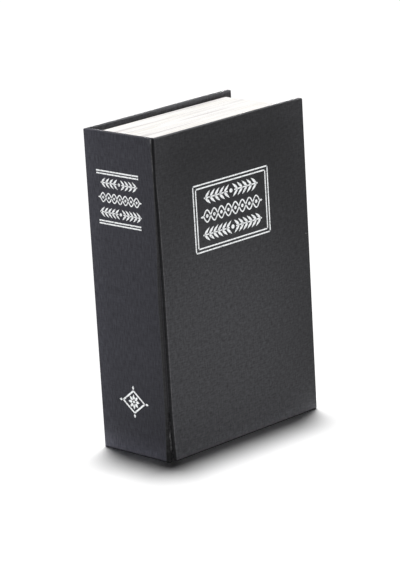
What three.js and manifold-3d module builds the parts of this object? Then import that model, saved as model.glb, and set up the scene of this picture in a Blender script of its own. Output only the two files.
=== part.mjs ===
// A hardback book that hides a key-locked steel box.
// Millimetres, +Z from tail to head, +X from spine to fore edge, +Y from front cover to back cover.
// The origin is the middle of the closed book's footprint, on the surface that it stands on.
import * as THREE from "three";
import { mergeVertices } from "three/addons/utils/BufferGeometryUtils.js";
import Module from "manifold-3d";

const wasm = await Module();
wasm.setup();

// Case: boards, cloth and endpapers
const bookHeight = 180;
const bookWidth = 117;
const bookThickness = 52;
const frontOverhang = 5.4; // the front cover stands this much further out at the fore edge
const boardThickness = 2;
const clothThickness = 0.4;
const glueFilm = 0.05; // between glued or riveted layers
const turnInWidth = 14; // cloth folded over onto a board's inner face
const coverCornerRadius = 1.5;
const endpaperThickness = 0.25;
const endpaperMargin = 4; // cloth left bare round an endpaper
const endpaperSetback = 0.5; // from the board's joint edge

// Joints between the spine and the covers
const jointWidth = 3.2; // spine face to the cover board's edge
const jointDepth = 2.2; // outer face of the cover to the groove's floor
const spineSetback = 1.2; // the spine cloth's ends lie this far inside the cover faces
const jointNose = 0.6; // depth at which the joint cloth turns over the spine's end
const jointNoseRun = 0.7;
const jointEndGap = 0.4; // the joint cloth stops short of head and tail
const jointAxisInset = 1.6; // spine face to the line that the front cover turns on

// Page block
const headSquare = 3; // the covers stand past the pages at head and tail
const foreSquare = 3.5; // and the back cover at the fore edge
const coverGap = 0.4; // page block to front cover
const pageMarginEnds = 7; // width of the ring of pages at head and tail
const pageMarginFore = 5;
const pageMarginSpine = 5;

// Steel box and lid
const boxSheet = 0.8;
const boxSlack = 1; // box to pages, all round
const lipWidth = 6;
const lidSheet = 0.8;
const lidRecess = 2.4; // lid face below the page block's face
const lidCornerRadius = 2;
const restGap = 0.3; // a moving piece to its seat

// Lid hinge
const knuckleRadius = 1.9;
const pinRadius = 0.9;
const pinGap = 0.3; // pin to knuckles, all round
const pinChamfer = 0.3;
const knuckleCount = 9; // odd, so that both end knuckles are on the box
const knuckleGap = 0.4;
const leafThickness = 0.8;
const leafReach = 12.5; // hinge axis to the leaf's far edge
const hingeEndGap = 1.5; // hinge ends to the lips
const swingGap = 0.35; // a turning knuckle to what stands beside it

// Rivets of the hinge
const rivetsPerLeaf = 3;
const rivetShankRadius = 1.2;
const rivetHoleGap = 0.3;
const rivetHeadRadius = 2.3;
const rivetHeadHeight = 0.6;
const rivetTailRadius = 2;
const rivetTailHeight = 0.7;
const rivetReach = 8.2; // hinge axis to the rivets

// Cam lock
const lockInset = 18; // box's fore edge to the lock's axis
const bezelRadius = 8;
const bezelThickness = 1.2;
const bezelChamfer = 0.4;
const housingRadius = 6;
const housingFlat = 5.2; // lock's axis to each flat
const housingLength = 9; // lid face to the housing's rear end
const lockHoleGap = 0.3;
const plugHeadRadius = 4.7;
const plugRadius = 4.2;
const plugGap = 0.3; // plug to housing, all round
const plugHeadDepth = 1.4;
const plugSunk = 0.1; // plug face below the bezel's face
const plugProud = 0.25; // plug shoulder past the housing's rear end
const plugTailRadius = 3;
const plugTailFlat = 2.3;
const keySlotWidth = 1.8;
const keySlotHeight = 5.6;
const keySlotDepth = 6;
const washerRadius = 7.8;
const washerThickness = 0.6;
const nutAcrossFlats = 14;
const nutThickness = 2.5;
const camThickness = 1.5;
const camBossRadius = 6.5;
const camArmWidth = 8;
const camTipGap = 0.45; // cam's tip to the strike bracket when locked
const camHoleGap = 0.3;
const camScrewRadius = 0.95;
const camScrewLength = 3;
const camScrewHoleGap = 0.3;
const camScrewHoleSpare = 0.5;
const camScrewHeadRadius = 3.6;
const camScrewHeadHeight = 1.4;
const driveWidth = 0.8; // cross recess of the cam screw
const driveLength = 3.6;
const driveDepth = 0.7;

// Strike bracket
const strikeSheet = 1.2;
const strikeReach = 8.5; // box wall to the strike's free edge
const strikeLength = 24;
const camStrikeGap = 0.6; // cam to strike when locked

// How finely round shapes are faceted
const cornerSegments = 4;
const smallRound = 16;
const barrelRound = 20;
const lockRound = 32;
const domeSteps = 3;

// How far a cutting shape runs past what it cuts
const past = 1;

// Faces of the case
const spineX = -bookWidth / 2;
const frontForeX = bookWidth / 2;
const backForeX = frontForeX - frontOverhang;
const FRONT = -1;
const BACK = 1;
const boardDepth = clothThickness + glueFilm;
const turnInDepth = boardDepth + boardThickness + glueFilm;
const wrapDepth = turnInDepth + clothThickness;
const coverDepth = wrapDepth + glueFilm + endpaperThickness;
const boardEdgeX = spineX + jointWidth;

// Faces of the page block
const pageSpineX = spineX + wrapDepth + glueFilm;
const pageForeX = backForeX - foreSquare;
const pageFrontY = coverY(FRONT, coverDepth + coverGap);
const pageBackY = coverY(BACK, coverDepth + glueFilm);
const pageLowZ = headSquare;
const pageHighZ = bookHeight - headSquare;

// Faces of the box and lid
const boxSpineX = pageSpineX + pageMarginSpine + boxSlack;
const boxForeX = pageForeX - pageMarginFore - boxSlack;
const boxLowZ = pageLowZ + pageMarginEnds + boxSlack;
const boxHighZ = pageHighZ - pageMarginEnds - boxSlack;
const lidFrontY = pageFrontY + lidRecess;
const lidBackY = lidFrontY + lidSheet;
const lipFrontY = lidBackY + restGap;
const lipBackY = lipFrontY + boxSheet;

// Hinge axis and the stretch of Z that the hinge takes
const boxLeafX = boxSpineX + boxSheet + glueFilm;
const hingeX = boxLeafX + knuckleRadius;
const hingeY = lidBackY + glueFilm + leafThickness - knuckleRadius;
const hingeLowZ = boxLowZ + lipWidth + hingeEndGap;
const hingeHighZ = boxHighZ - lipWidth - hingeEndGap;
const knucklePitch = (hingeHighZ - hingeLowZ + knuckleGap) / knuckleCount;
const rivetHoleRadius = rivetShankRadius + rivetHoleGap;

// The strike bracket's face on the wall, the lock's axis, and the cam's reach between the two
const strikeWallX = boxForeX - boxSheet - glueFilm;
const lockX = boxForeX - lockInset;
const camReach = strikeWallX - strikeSheet - camTipGap - lockX;

// Faces of the lock's pieces from front to rear
const lockZ = bookHeight / 2;
const bezelBackY = lidFrontY - glueFilm;
const bezelFrontY = bezelBackY - bezelThickness;
const housingBackY = lidFrontY + housingLength;
const washerFrontY = lidBackY + glueFilm;
const nutFrontY = washerFrontY + washerThickness + glueFilm;
const plugShoulderY = housingBackY + plugProud;
const camFrontY = plugShoulderY + glueFilm;
const camBackY = camFrontY + camThickness;
const strikeBackY = camFrontY - camStrikeGap;

// The Y of a plane at a depth below a cover's outer face.
function coverY(side, depth) {
  return side * (bookThickness / 2 - depth);
}

// The X of a cover's fore edge.
function coverForeX(side) {
  return side === FRONT ? frontForeX : backForeX;
}

// A closed three.js geometry as a manifold solid.
function solidFrom(geometry) {
  const bare = geometry.clone();
  bare.deleteAttribute("normal");
  bare.deleteAttribute("uv");
  const merged = mergeVertices(bare);
  return new wasm.Manifold(
    new wasm.Mesh({
      numProp: 3,
      vertProperties: merged.attributes.position.array,
      triVerts: new Uint32Array(merged.index.array),
    }),
  );
}

// A manifold solid as a flat-shaded three.js geometry.
function geometryFrom(solid) {
  const { vertProperties, triVerts } = solid.getMesh();
  const indexed = new THREE.BufferGeometry();
  indexed.setAttribute("position", new THREE.BufferAttribute(vertProperties, 3));
  indexed.setIndex(new THREE.BufferAttribute(triVerts, 1));
  const geometry = indexed.toNonIndexed();
  geometry.computeVertexNormals();
  return geometry;
}

// A box between two X, two Y and two Z planes, each pair in either order.
function block([x0, x1], [y0, y1], [z0, z1]) {
  const size = [x1 - x0, y1 - y0, z1 - z0].map(Math.abs);
  const geometry = new THREE.BoxGeometry(...size);
  geometry.translate((x0 + x1) / 2, (y0 + y1) / 2, (z0 + z1) / 2);
  return solidFrom(geometry);
}

// A shape drawn in X and Z, extruded between two Y planes.
function plate(shape, [y0, y1]) {
  const geometry = new THREE.ExtrudeGeometry(shape, {
    depth: Math.abs(y1 - y0),
    bevelEnabled: false,
    curveSegments: cornerSegments,
  });
  geometry.rotateX(Math.PI / 2);
  geometry.translate(0, Math.max(y0, y1), 0);
  return solidFrom(geometry);
}

// A shape drawn in X and Y, extruded between two Z planes.
function prism(shape, [z0, z1]) {
  const geometry = new THREE.ExtrudeGeometry(shape, { depth: z1 - z0, bevelEnabled: false });
  geometry.translate(0, 0, z0);
  return solidFrom(geometry);
}

// A profile of [radius, y] pairs turned about the Y axis, outer side first from low Y to high Y.
function turned(profile, segments) {
  const points = profile.map(([radius, y]) => new THREE.Vector2(radius, y));
  return solidFrom(new THREE.LatheGeometry(points, segments));
}

// A round bar about the X axis.
function barAlongX(radius, [x0, x1], segments) {
  const geometry = new THREE.CylinderGeometry(radius, radius, x1 - x0, segments);
  geometry.rotateZ(Math.PI / 2);
  geometry.translate((x0 + x1) / 2, 0, 0);
  return solidFrom(geometry);
}

// A round bar about the Y axis.
function barAlongY(radius, [y0, y1], segments) {
  return turned([[0, y0], [radius, y0], [radius, y1], [0, y1]], segments);
}

// A round bar about the Z axis.
function barAlongZ(radius, [z0, z1], segments) {
  const geometry = new THREE.CylinderGeometry(radius, radius, z1 - z0, segments);
  geometry.rotateX(Math.PI / 2);
  geometry.translate(0, 0, (z0 + z1) / 2);
  return solidFrom(geometry);
}

// A rectangle whose fore edge corners are rounded, and its joint edge corners too where asked.
function leafShape([x0, x1], [z0, z1], radius, jointRadius = 0) {
  const shape = new THREE.Shape();
  shape.moveTo(x0 + jointRadius, z0);
  shape.lineTo(x1 - radius, z0);
  shape.absarc(x1 - radius, z0 + radius, radius, -Math.PI / 2, 0);
  shape.lineTo(x1, z1 - radius);
  shape.absarc(x1 - radius, z1 - radius, radius, 0, Math.PI / 2);
  shape.lineTo(x0 + jointRadius, z1);
  if (jointRadius > 0) {
    shape.absarc(x0 + jointRadius, z1 - jointRadius, jointRadius, Math.PI / 2, Math.PI);
    shape.lineTo(x0, z0 + jointRadius);
    shape.absarc(x0 + jointRadius, z0 + jointRadius, jointRadius, Math.PI, 1.5 * Math.PI);
  } else {
    shape.lineTo(x0, z0);
  }
  return shape;
}

// A layer of a cover, between two depths below its outer face.
function coverLayer(side, [x0, x1], [z0, z1], depths, radius) {
  const shape = leafShape([x0, x1], [z0, z1], radius);
  return plate(shape, depths.map((depth) => coverY(side, depth)));
}

// The strip of even thickness along a line of points.
function ribbonShape(points, thickness) {
  const normals = points.map((point, i) => {
    const before = points[Math.max(i - 1, 0)];
    const after = points[Math.min(i + 1, points.length - 1)];
    const arriving = new THREE.Vector2().subVectors(point, before).normalize();
    const leaving = new THREE.Vector2().subVectors(after, point).normalize();
    const along = new THREE.Vector2().addVectors(arriving, leaving).normalize();
    const isEnd = i === 0 || i === points.length - 1;
    const reach = thickness / 2 / (isEnd ? 1 : along.dot(leaving));
    return new THREE.Vector2(-along.y, along.x).multiplyScalar(reach);
  });
  const left = points.map((point, i) => point.clone().add(normals[i]));
  const right = points.map((point, i) => point.clone().sub(normals[i]));
  return new THREE.Shape([...left, ...right.reverse()]);
}

// A cover's board.
function coverBoard(side) {
  const edge = boardDepth;
  return coverLayer(
    side,
    [boardEdgeX, coverForeX(side) - edge],
    [edge, bookHeight - edge],
    [boardDepth, boardDepth + boardThickness],
    coverCornerRadius - edge,
  );
}

// The cloth on a cover: outer face, three edges, and turn-ins on the inner face.
function coverCloth(side) {
  const foreX = coverForeX(side);
  const height = [0, bookHeight];
  const outside = coverLayer(side, [boardEdgeX, foreX], height, [0, wrapDepth], coverCornerRadius);
  const pocket = coverLayer(
    side,
    [boardEdgeX - past, foreX - clothThickness],
    [clothThickness, bookHeight - clothThickness],
    [clothThickness, turnInDepth],
    coverCornerRadius - clothThickness,
  );
  const bare = block(
    [boardEdgeX - past, foreX - turnInWidth],
    [coverY(side, turnInDepth - glueFilm), coverY(side, wrapDepth + past)],
    [turnInWidth, bookHeight - turnInWidth],
  );
  return outside.subtract(pocket).subtract(bare);
}

// An endpaper: it fills the bare middle of the board and laps over the turn-ins.
function endpaper(side) {
  const foreX = coverForeX(side);
  const lapping = block(
    [boardEdgeX + endpaperSetback, foreX - endpaperMargin],
    [coverY(side, wrapDepth + glueFilm), coverY(side, coverDepth)],
    [endpaperMargin, bookHeight - endpaperMargin],
  );
  const filling = block(
    [boardEdgeX + endpaperSetback, foreX - turnInWidth - glueFilm],
    [coverY(side, turnInDepth), coverY(side, coverDepth)],
    [turnInWidth + glueFilm, bookHeight - turnInWidth - glueFilm],
  );
  return lapping.add(filling);
}

// The half width of the spine's board, whose long edges stay clear of the joint cloth.
function spineBoardHalf() {
  return coverY(BACK, jointDepth + clothThickness);
}

// The spine's board.
function spineBoard() {
  return block(
    [spineX + boardDepth, spineX + boardDepth + boardThickness],
    [-spineBoardHalf(), spineBoardHalf()],
    [boardDepth, bookHeight - boardDepth],
  );
}

// The cloth on the spine: a face that runs on towards the joints, and turn-ins at head and tail.
function spineCloth() {
  const half = spineBoardHalf();
  const faceHalf = coverY(BACK, spineSetback);
  const face = block([spineX, spineX + clothThickness], [-faceHalf, faceHalf], [0, bookHeight]);
  const folded = block([spineX, spineX + wrapDepth], [-half, half], [0, bookHeight]);
  const pocket = block(
    [spineX + clothThickness, spineX + turnInDepth],
    [-half - past, half + past],
    [clothThickness, bookHeight - clothThickness],
  );
  const bare = block(
    [spineX + turnInDepth - glueFilm, spineX + wrapDepth + past],
    [-half - past, half + past],
    [turnInWidth, bookHeight - turnInWidth],
  );
  return folded.add(face).subtract(pocket).subtract(bare);
}

// The cloth of a joint: over the spine's end, down into the groove and up the board's edge.
function jointCloth(side) {
  const half = clothThickness / 2;
  const limb = jointWidth - glueFilm - half;
  const floor = (half + jointNoseRun + limb) / 2;
  const bend = (limb - floor) / 2;
  const path = new THREE.Path();
  path.moveTo(half, spineSetback - glueFilm);
  path.lineTo(half, (spineSetback + jointNose) / 2);
  path.quadraticCurveTo(half, jointNose, half + jointNoseRun, jointNose);
  path.bezierCurveTo(floor - bend, jointNose, floor - bend, jointDepth, floor, jointDepth);
  path.quadraticCurveTo(limb, jointDepth, limb, jointDepth - bend);
  path.lineTo(limb, 0);
  const points = path.getPoints(cornerSegments).map(
    ({ x: along, y: depth }) => new THREE.Vector2(spineX + along, coverY(side, depth)),
  );
  return prism(ribbonShape(points, clothThickness), [jointEndGap, bookHeight - jointEndGap]);
}

// The pages, glued up and cut out as a ring for the box.
function pageBlock() {
  const depth = [pageFrontY, pageBackY];
  const pages = block([pageSpineX, pageForeX], depth, [pageLowZ, pageHighZ]);
  const hollow = block(
    [boxSpineX - boxSlack, boxForeX + boxSlack],
    [pageFrontY - past, pageBackY + past],
    [boxLowZ - boxSlack, boxHighZ + boxSlack],
  );
  return pages.subtract(hollow);
}

// The box: a folded tray with inward lips at tail, head and fore edge, and a lower spine wall.
function steelBox() {
  const inside = (low, high, wall) => [low + wall, high - wall];
  const outside = block([boxSpineX, boxForeX], [lipFrontY, pageBackY], [boxLowZ, boxHighZ]);
  const hollow = block(
    inside(boxSpineX, boxForeX, boxSheet),
    [lipBackY, pageBackY - boxSheet],
    inside(boxLowZ, boxHighZ, boxSheet),
  );
  const mouth = block(
    [boxSpineX + boxSheet, boxForeX - lipWidth],
    [lipFrontY - past, lipBackY + boxSheet],
    inside(boxLowZ, boxHighZ, lipWidth),
  );
  const underHinge = block(
    [boxSpineX - past, boxSpineX + boxSheet],
    [lipFrontY - past, hingeY + knuckleRadius + restGap],
    inside(boxLowZ, boxHighZ, boxSheet),
  );
  const tray = outside.subtract(hollow).subtract(mouth).subtract(underHinge);
  return boxRivetPlaces().reduce((solid, { y, z }) => {
    const hole = barAlongX(rivetHoleRadius, [boxSpineX - past, boxLeafX + past], smallRound);
    return solid.subtract(hole.translate([0, y, z]));
  }, tray);
}

// The strike: an angle on the fore edge wall, with a leg for the cam to turn behind.
function strikeBracket() {
  const length = [lockZ - strikeLength / 2, lockZ + strikeLength / 2];
  const onWall = block(
    [strikeWallX - strikeSheet, strikeWallX],
    [lipBackY + restGap, strikeBackY],
    length,
  );
  const inward = block(
    [strikeWallX - strikeReach, strikeWallX],
    [strikeBackY - strikeSheet, strikeBackY],
    length,
  );
  return onWall.add(inward);
}

// The heights of the rivets along the hinge.
function rivetHeights() {
  const step = (hingeHighZ - hingeLowZ) / rivetsPerLeaf;
  return Array.from({ length: rivetsPerLeaf }, (_, i) => hingeLowZ + step * (i + 0.5));
}

// Where the box leaf's rivets go through the spine wall.
function boxRivetPlaces() {
  return rivetHeights().map((z) => ({ x: boxLeafX + leafThickness, y: hingeY + rivetReach, z }));
}

// Where the lid leaf's rivets go through the lid.
function lidRivetPlaces() {
  return rivetHeights().map((z) => ({ x: hingeX + rivetReach, y: lidBackY + glueFilm + leafThickness, z }));
}

// A rivet about the Y axis: Y 0 is the leaf's face, and the domed head is past the sheet.
function rivetSolid(sheet) {
  const grip = leafThickness + glueFilm + sheet;
  const dome = Array.from({ length: domeSteps + 1 }, (_, i) => {
    const angle = (i / domeSteps) * (Math.PI / 2);
    const radius = i === domeSteps ? 0 : rivetHeadRadius * Math.cos(angle);
    return [radius, grip + glueFilm + rivetHeadHeight * Math.sin(angle)];
  });
  return turned(
    [
      [0, -glueFilm - rivetTailHeight],
      [rivetTailRadius, -glueFilm - rivetTailHeight],
      [rivetTailRadius, -glueFilm],
      [rivetShankRadius, -glueFilm],
      [rivetShankRadius, grip + glueFilm],
      ...dome,
    ],
    smallRound,
  );
}

// The stretch of Z that a knuckle takes.
function knuckleSpan(index) {
  const low = hingeLowZ + index * knucklePitch;
  return [low, low + knucklePitch - knuckleGap];
}

// A hinge leaf about its own axis: a flat blade, the knuckles it carries, and room for the others.
function hingeLeaf(blade, carries) {
  let leaf = blade;
  for (let i = 0; i < knuckleCount; i += 1) {
    const [low, high] = knuckleSpan(i);
    if (carries(i)) leaf = leaf.add(barAlongZ(knuckleRadius, [low, high], barrelRound));
    else {
      const room = [low - knuckleGap, high + knuckleGap];
      leaf = leaf.subtract(barAlongZ(knuckleRadius + swingGap, room, barrelRound));
    }
  }
  const bore = barAlongZ(pinRadius + pinGap, [hingeLowZ - past, hingeHighZ + past], barrelRound);
  return leaf.subtract(bore);
}

// The leaf on the box's spine wall, about the hinge axis.
function boxHingeLeaf() {
  const blade = block(
    [-knuckleRadius, leafThickness - knuckleRadius],
    [0, leafReach],
    [hingeLowZ, hingeHighZ],
  );
  const leaf = hingeLeaf(blade, (i) => i % 2 === 0);
  const width = [-knuckleRadius - past, leafThickness - knuckleRadius + past];
  return boxRivetPlaces().reduce((solid, { y, z }) => {
    const hole = barAlongX(rivetHoleRadius, width, smallRound);
    return solid.subtract(hole.translate([0, y - hingeY, z]));
  }, leaf);
}

// The leaf under the lid, about the hinge axis.
function lidHingeLeaf() {
  const blade = block(
    [0, leafReach],
    [knuckleRadius - leafThickness, knuckleRadius],
    [hingeLowZ, hingeHighZ],
  );
  const leaf = hingeLeaf(blade, (i) => i % 2 === 1);
  const depth = [-past, knuckleRadius + past];
  return lidRivetPlaces().reduce((solid, { x, z }) => {
    const hole = barAlongY(rivetHoleRadius, depth, smallRound);
    return solid.subtract(hole.translate([x - hingeX, 0, z]));
  }, leaf);
}

// The hinge pin, about the hinge axis, with chamfered ends.
function hingePin() {
  const ends = [hingeLowZ, hingeHighZ];
  const points = [
    [0, ends[0]],
    [pinRadius - pinChamfer, ends[0]],
    [pinRadius, ends[0] + pinChamfer],
    [pinRadius, ends[1] - pinChamfer],
    [pinRadius - pinChamfer, ends[1]],
    [0, ends[1]],
  ].map(([radius, y]) => new THREE.Vector2(radius, y));
  const geometry = new THREE.LatheGeometry(points, smallRound);
  geometry.rotateX(Math.PI / 2);
  return solidFrom(geometry);
}

// A round bar about the Y axis with two flats across X.
function flattedBar(radius, flat, [y0, y1], segments) {
  const slab = block([-flat, flat], [y0 - past, y1 + past], [-radius - past, radius + past]);
  return barAlongY(radius, [y0, y1], segments).intersect(slab);
}

// The lid: a plate with the lock's hole and the rivets' holes.
function lidPlate() {
  const height = [boxLowZ, boxHighZ];
  const width = [hingeX + knuckleRadius + swingGap, boxForeX];
  const outline = leafShape(width, height, lidCornerRadius, lidCornerRadius);
  const sheet = plate(outline, [lidFrontY, lidBackY]);
  const through = [lidFrontY - past, lidBackY + past];
  const lockHole = flattedBar(
    housingRadius + lockHoleGap,
    housingFlat + lockHoleGap,
    through,
    lockRound,
  );
  return lidRivetPlaces().reduce((solid, { x, z }) => {
    const hole = barAlongY(rivetHoleRadius, through, smallRound);
    return solid.subtract(hole.translate([x, 0, z]));
  }, sheet.subtract(lockHole.translate([lockX, 0, lockZ])));
}

// The lock's housing about its axis: a bezel, a barrel with two flats, and a stepped bore.
function lockHousing() {
  const stepY = bezelFrontY + plugHeadDepth;
  const flange = turned(
    [
      [0, bezelFrontY],
      [bezelRadius - bezelChamfer, bezelFrontY],
      [bezelRadius, bezelFrontY + bezelChamfer],
      [bezelRadius, bezelBackY],
      [0, bezelBackY],
    ],
    lockRound,
  );
  const barrel = flattedBar(housingRadius, housingFlat, [bezelFrontY, housingBackY], lockRound);
  const headBore = barAlongY(plugHeadRadius + plugGap, [bezelFrontY - past, stepY], lockRound);
  const bore = barAlongY(plugRadius + plugGap, [stepY - past, housingBackY + past], lockRound);
  return flange.add(barrel).subtract(headBore).subtract(bore);
}

// The washer under the lock nut.
function lockWasher() {
  const depth = [washerFrontY, washerFrontY + washerThickness];
  const hole = barAlongY(housingRadius + lockHoleGap, [depth[0] - past, depth[1] + past], lockRound);
  return barAlongY(washerRadius, depth, lockRound).subtract(hole);
}

// The hexagon nut that clamps the housing to the lid.
function lockNut() {
  const depth = [nutFrontY, nutFrontY + nutThickness];
  const hexagon = barAlongY(nutAcrossFlats / Math.sqrt(3), depth, 6);
  const hole = barAlongY(housingRadius + lockHoleGap, [depth[0] - past, depth[1] + past], lockRound);
  return hexagon.subtract(hole);
}

// The plug: a stepped round, with a key slot in front and a flatted tail with a screw hole behind.
function lockPlug() {
  const faceY = bezelFrontY + plugSunk;
  const headBackY = bezelFrontY + plugHeadDepth - glueFilm;
  const tailBackY = camBackY - glueFilm;
  const body = turned(
    [
      [0, faceY],
      [plugHeadRadius, faceY],
      [plugHeadRadius, headBackY],
      [plugRadius, headBackY],
      [plugRadius, plugShoulderY],
      [0, plugShoulderY],
    ],
    lockRound,
  );
  const tail = flattedBar(plugTailRadius, plugTailFlat, [plugShoulderY - past, tailBackY], lockRound);
  const slot = block(
    [-keySlotWidth / 2, keySlotWidth / 2],
    [faceY - past, faceY + keySlotDepth],
    [-keySlotHeight / 2, keySlotHeight / 2],
  );
  const holeDepth = camScrewLength + camScrewHoleSpare;
  const hole = barAlongY(
    camScrewRadius + camScrewHoleGap,
    [tailBackY - holeDepth, tailBackY + past],
    smallRound,
  );
  return body.add(tail).subtract(slot).subtract(hole);
}

// The cam, pointing up: a boss with a flatted hole, and an arm with a round tip.
function lockCam() {
  const halfArm = camArmWidth / 2;
  const tip = camReach - halfArm;
  const meet = Math.acos(halfArm / camBossRadius);
  const outline = new THREE.Shape();
  outline.moveTo(halfArm, camBossRadius * Math.sin(meet));
  outline.lineTo(halfArm, tip);
  outline.absarc(0, tip, halfArm, 0, Math.PI);
  outline.absarc(0, 0, camBossRadius, Math.PI - meet, 2 * Math.PI + meet);
  const blank = plate(new THREE.Shape(outline.getPoints(lockRound / 2)), [camFrontY, camBackY]);
  const hole = flattedBar(
    plugTailRadius + camHoleGap,
    plugTailFlat + camHoleGap,
    [camFrontY - past, camBackY + past],
    lockRound,
  );
  return blank.subtract(hole);
}

// The screw that holds the cam on the plug's tail, with a cross recess.
function camScrew() {
  const seatY = camBackY + glueFilm;
  const body = turned(
    [
      [0, seatY - camScrewLength],
      [camScrewRadius, seatY - camScrewLength],
      [camScrewRadius, seatY],
      [camScrewHeadRadius, seatY],
      [camScrewHeadRadius, seatY + camScrewHeadHeight / 2],
      [camScrewHeadRadius - camScrewHeadHeight / 2, seatY + camScrewHeadHeight],
      [0, seatY + camScrewHeadHeight],
    ],
    smallRound,
  );
  const depth = [seatY + camScrewHeadHeight - driveDepth, seatY + camScrewHeadHeight + past];
  const long = [-driveLength / 2, driveLength / 2];
  const narrow = [-driveWidth / 2, driveWidth / 2];
  return body.subtract(block(long, depth, narrow)).subtract(block(narrow, depth, long));
}

// Finishes
const finish = (color, roughness, metalness = 0) => ({ color, roughness, metalness });
const bookCloth = finish(0x3c3c41, 0.75);
const greyboard = finish(0x8d877c, 0.95);
const paper = finish(0xf7f5ee, 0.9);
const blackEnamel = finish(0x2a2b2d, 0.5, 0.2);
const zincPlate = finish(0xb9bcc0, 0.35, 1);
const brightNickel = finish(0xd4d2cc, 0.2, 1);
const brass = finish(0xb08d4f, 0.3, 1);

// A named mesh of a solid or geometry in its finish.
function piece(name, shape, look) {
  const geometry = shape.isBufferGeometry ? shape : geometryFrom(shape);
  const mesh = new THREE.Mesh(geometry, new THREE.MeshStandardMaterial(look));
  mesh.name = name;
  return mesh;
}

// A group at a pivot, whose meshes were made in the book's frame.
function pivoted(pivot, meshes) {
  const group = new THREE.Group();
  group.position.copy(pivot);
  for (const mesh of meshes) {
    mesh.geometry.translate(-pivot.x, -pivot.y, -pivot.z);
    group.add(mesh);
  }
  return group;
}

// A group at a pivot, whose meshes were made about that pivot in X and Y or X and Z.
function placed(x, y, z, meshes) {
  const group = new THREE.Group();
  group.position.set(x, y, z);
  group.add(...meshes);
  return group;
}

// Rivets that share one shape, each its own mesh, turned so that the head faces outwards.
function rivets(prefix, sheet, places, rotation) {
  const shape = geometryFrom(rivetSolid(sheet));
  return places.map(({ x, y, z }, i) => {
    const rivet = piece(`${prefix}_${i + 1}`, shape.clone(), zincPlate);
    rivet.position.set(x, y, z);
    rivet.rotation.copy(rotation);
    return rivet;
  });
}

// The case: what is glued together and stands still.
function bookCase() {
  const group = new THREE.Group();
  group.add(
    piece("back_board", coverBoard(BACK), greyboard),
    piece("back_cloth", coverCloth(BACK), bookCloth),
    piece("back_joint_cloth", jointCloth(BACK), bookCloth),
    piece("back_endpaper", endpaper(BACK), paper),
    piece("spine_board", spineBoard(), greyboard),
    piece("spine_cloth", spineCloth(), bookCloth),
    piece("front_joint_cloth", jointCloth(FRONT), bookCloth),
    piece("page_block", pageBlock(), paper),
    piece("steel_box", steelBox(), blackEnamel),
    piece("strike_bracket", strikeBracket(), zincPlate),
    placed(hingeX, hingeY, 0, [
      piece("box_hinge_leaf", boxHingeLeaf(), zincPlate),
      piece("hinge_pin", hingePin(), zincPlate),
    ]),
    ...rivets("box_rivet", boxSheet, boxRivetPlaces(), new THREE.Euler(0, 0, Math.PI / 2)),
  );
  return group;
}

// The front cover, which turns about the front joint.
function frontCover() {
  const jointAxis = new THREE.Vector3(spineX + jointAxisInset, coverY(FRONT, 0), 0);
  return pivoted(jointAxis, [
    piece("front_board", coverBoard(FRONT), greyboard),
    piece("front_cloth", coverCloth(FRONT), bookCloth),
    piece("front_endpaper", endpaper(FRONT), paper),
  ]);
}

// The plug and what turns with it, about the lock's axis.
function lockCylinder() {
  return placed(lockX, 0, lockZ, [
    piece("lock_plug", lockPlug(), brass),
    piece("lock_cam", lockCam(), zincPlate),
    piece("cam_screw", camScrew(), zincPlate),
  ]);
}

// The lid, which turns about the hinge pin, with the lock that it carries.
function safeLid() {
  const group = new THREE.Group();
  group.add(
    piece("lid_plate", lidPlate(), blackEnamel),
    placed(hingeX, hingeY, 0, [piece("lid_hinge_leaf", lidHingeLeaf(), zincPlate)]),
    placed(lockX, 0, lockZ, [
      piece("lock_housing", lockHousing(), brightNickel),
      piece("lock_washer", lockWasher(), zincPlate),
      piece("lock_nut", lockNut(), zincPlate),
    ]),
    ...rivets("lid_rivet", lidSheet, lidRivetPlaces(), new THREE.Euler(Math.PI, 0, 0)),
    lockCylinder(),
  );
  return group;
}

const bookSafe = new THREE.Group();
bookSafe.add(bookCase(), frontCover(), safeLid());

export default bookSafe;
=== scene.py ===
"""Finishes a hardback book that hides a key-locked steel box.

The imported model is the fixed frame, and places are read from its nodes. Lengths are metres, +Z runs from
tail to head, +X from spine to fore edge, and +Y from front cover to back cover.
"""

import logging
import math
import random
from collections.abc import Callable, Iterable
from dataclasses import dataclass, field
from enum import Enum
from functools import cache, cached_property

import bmesh
import bpy
from mathutils import Matrix, Vector, noise


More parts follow.
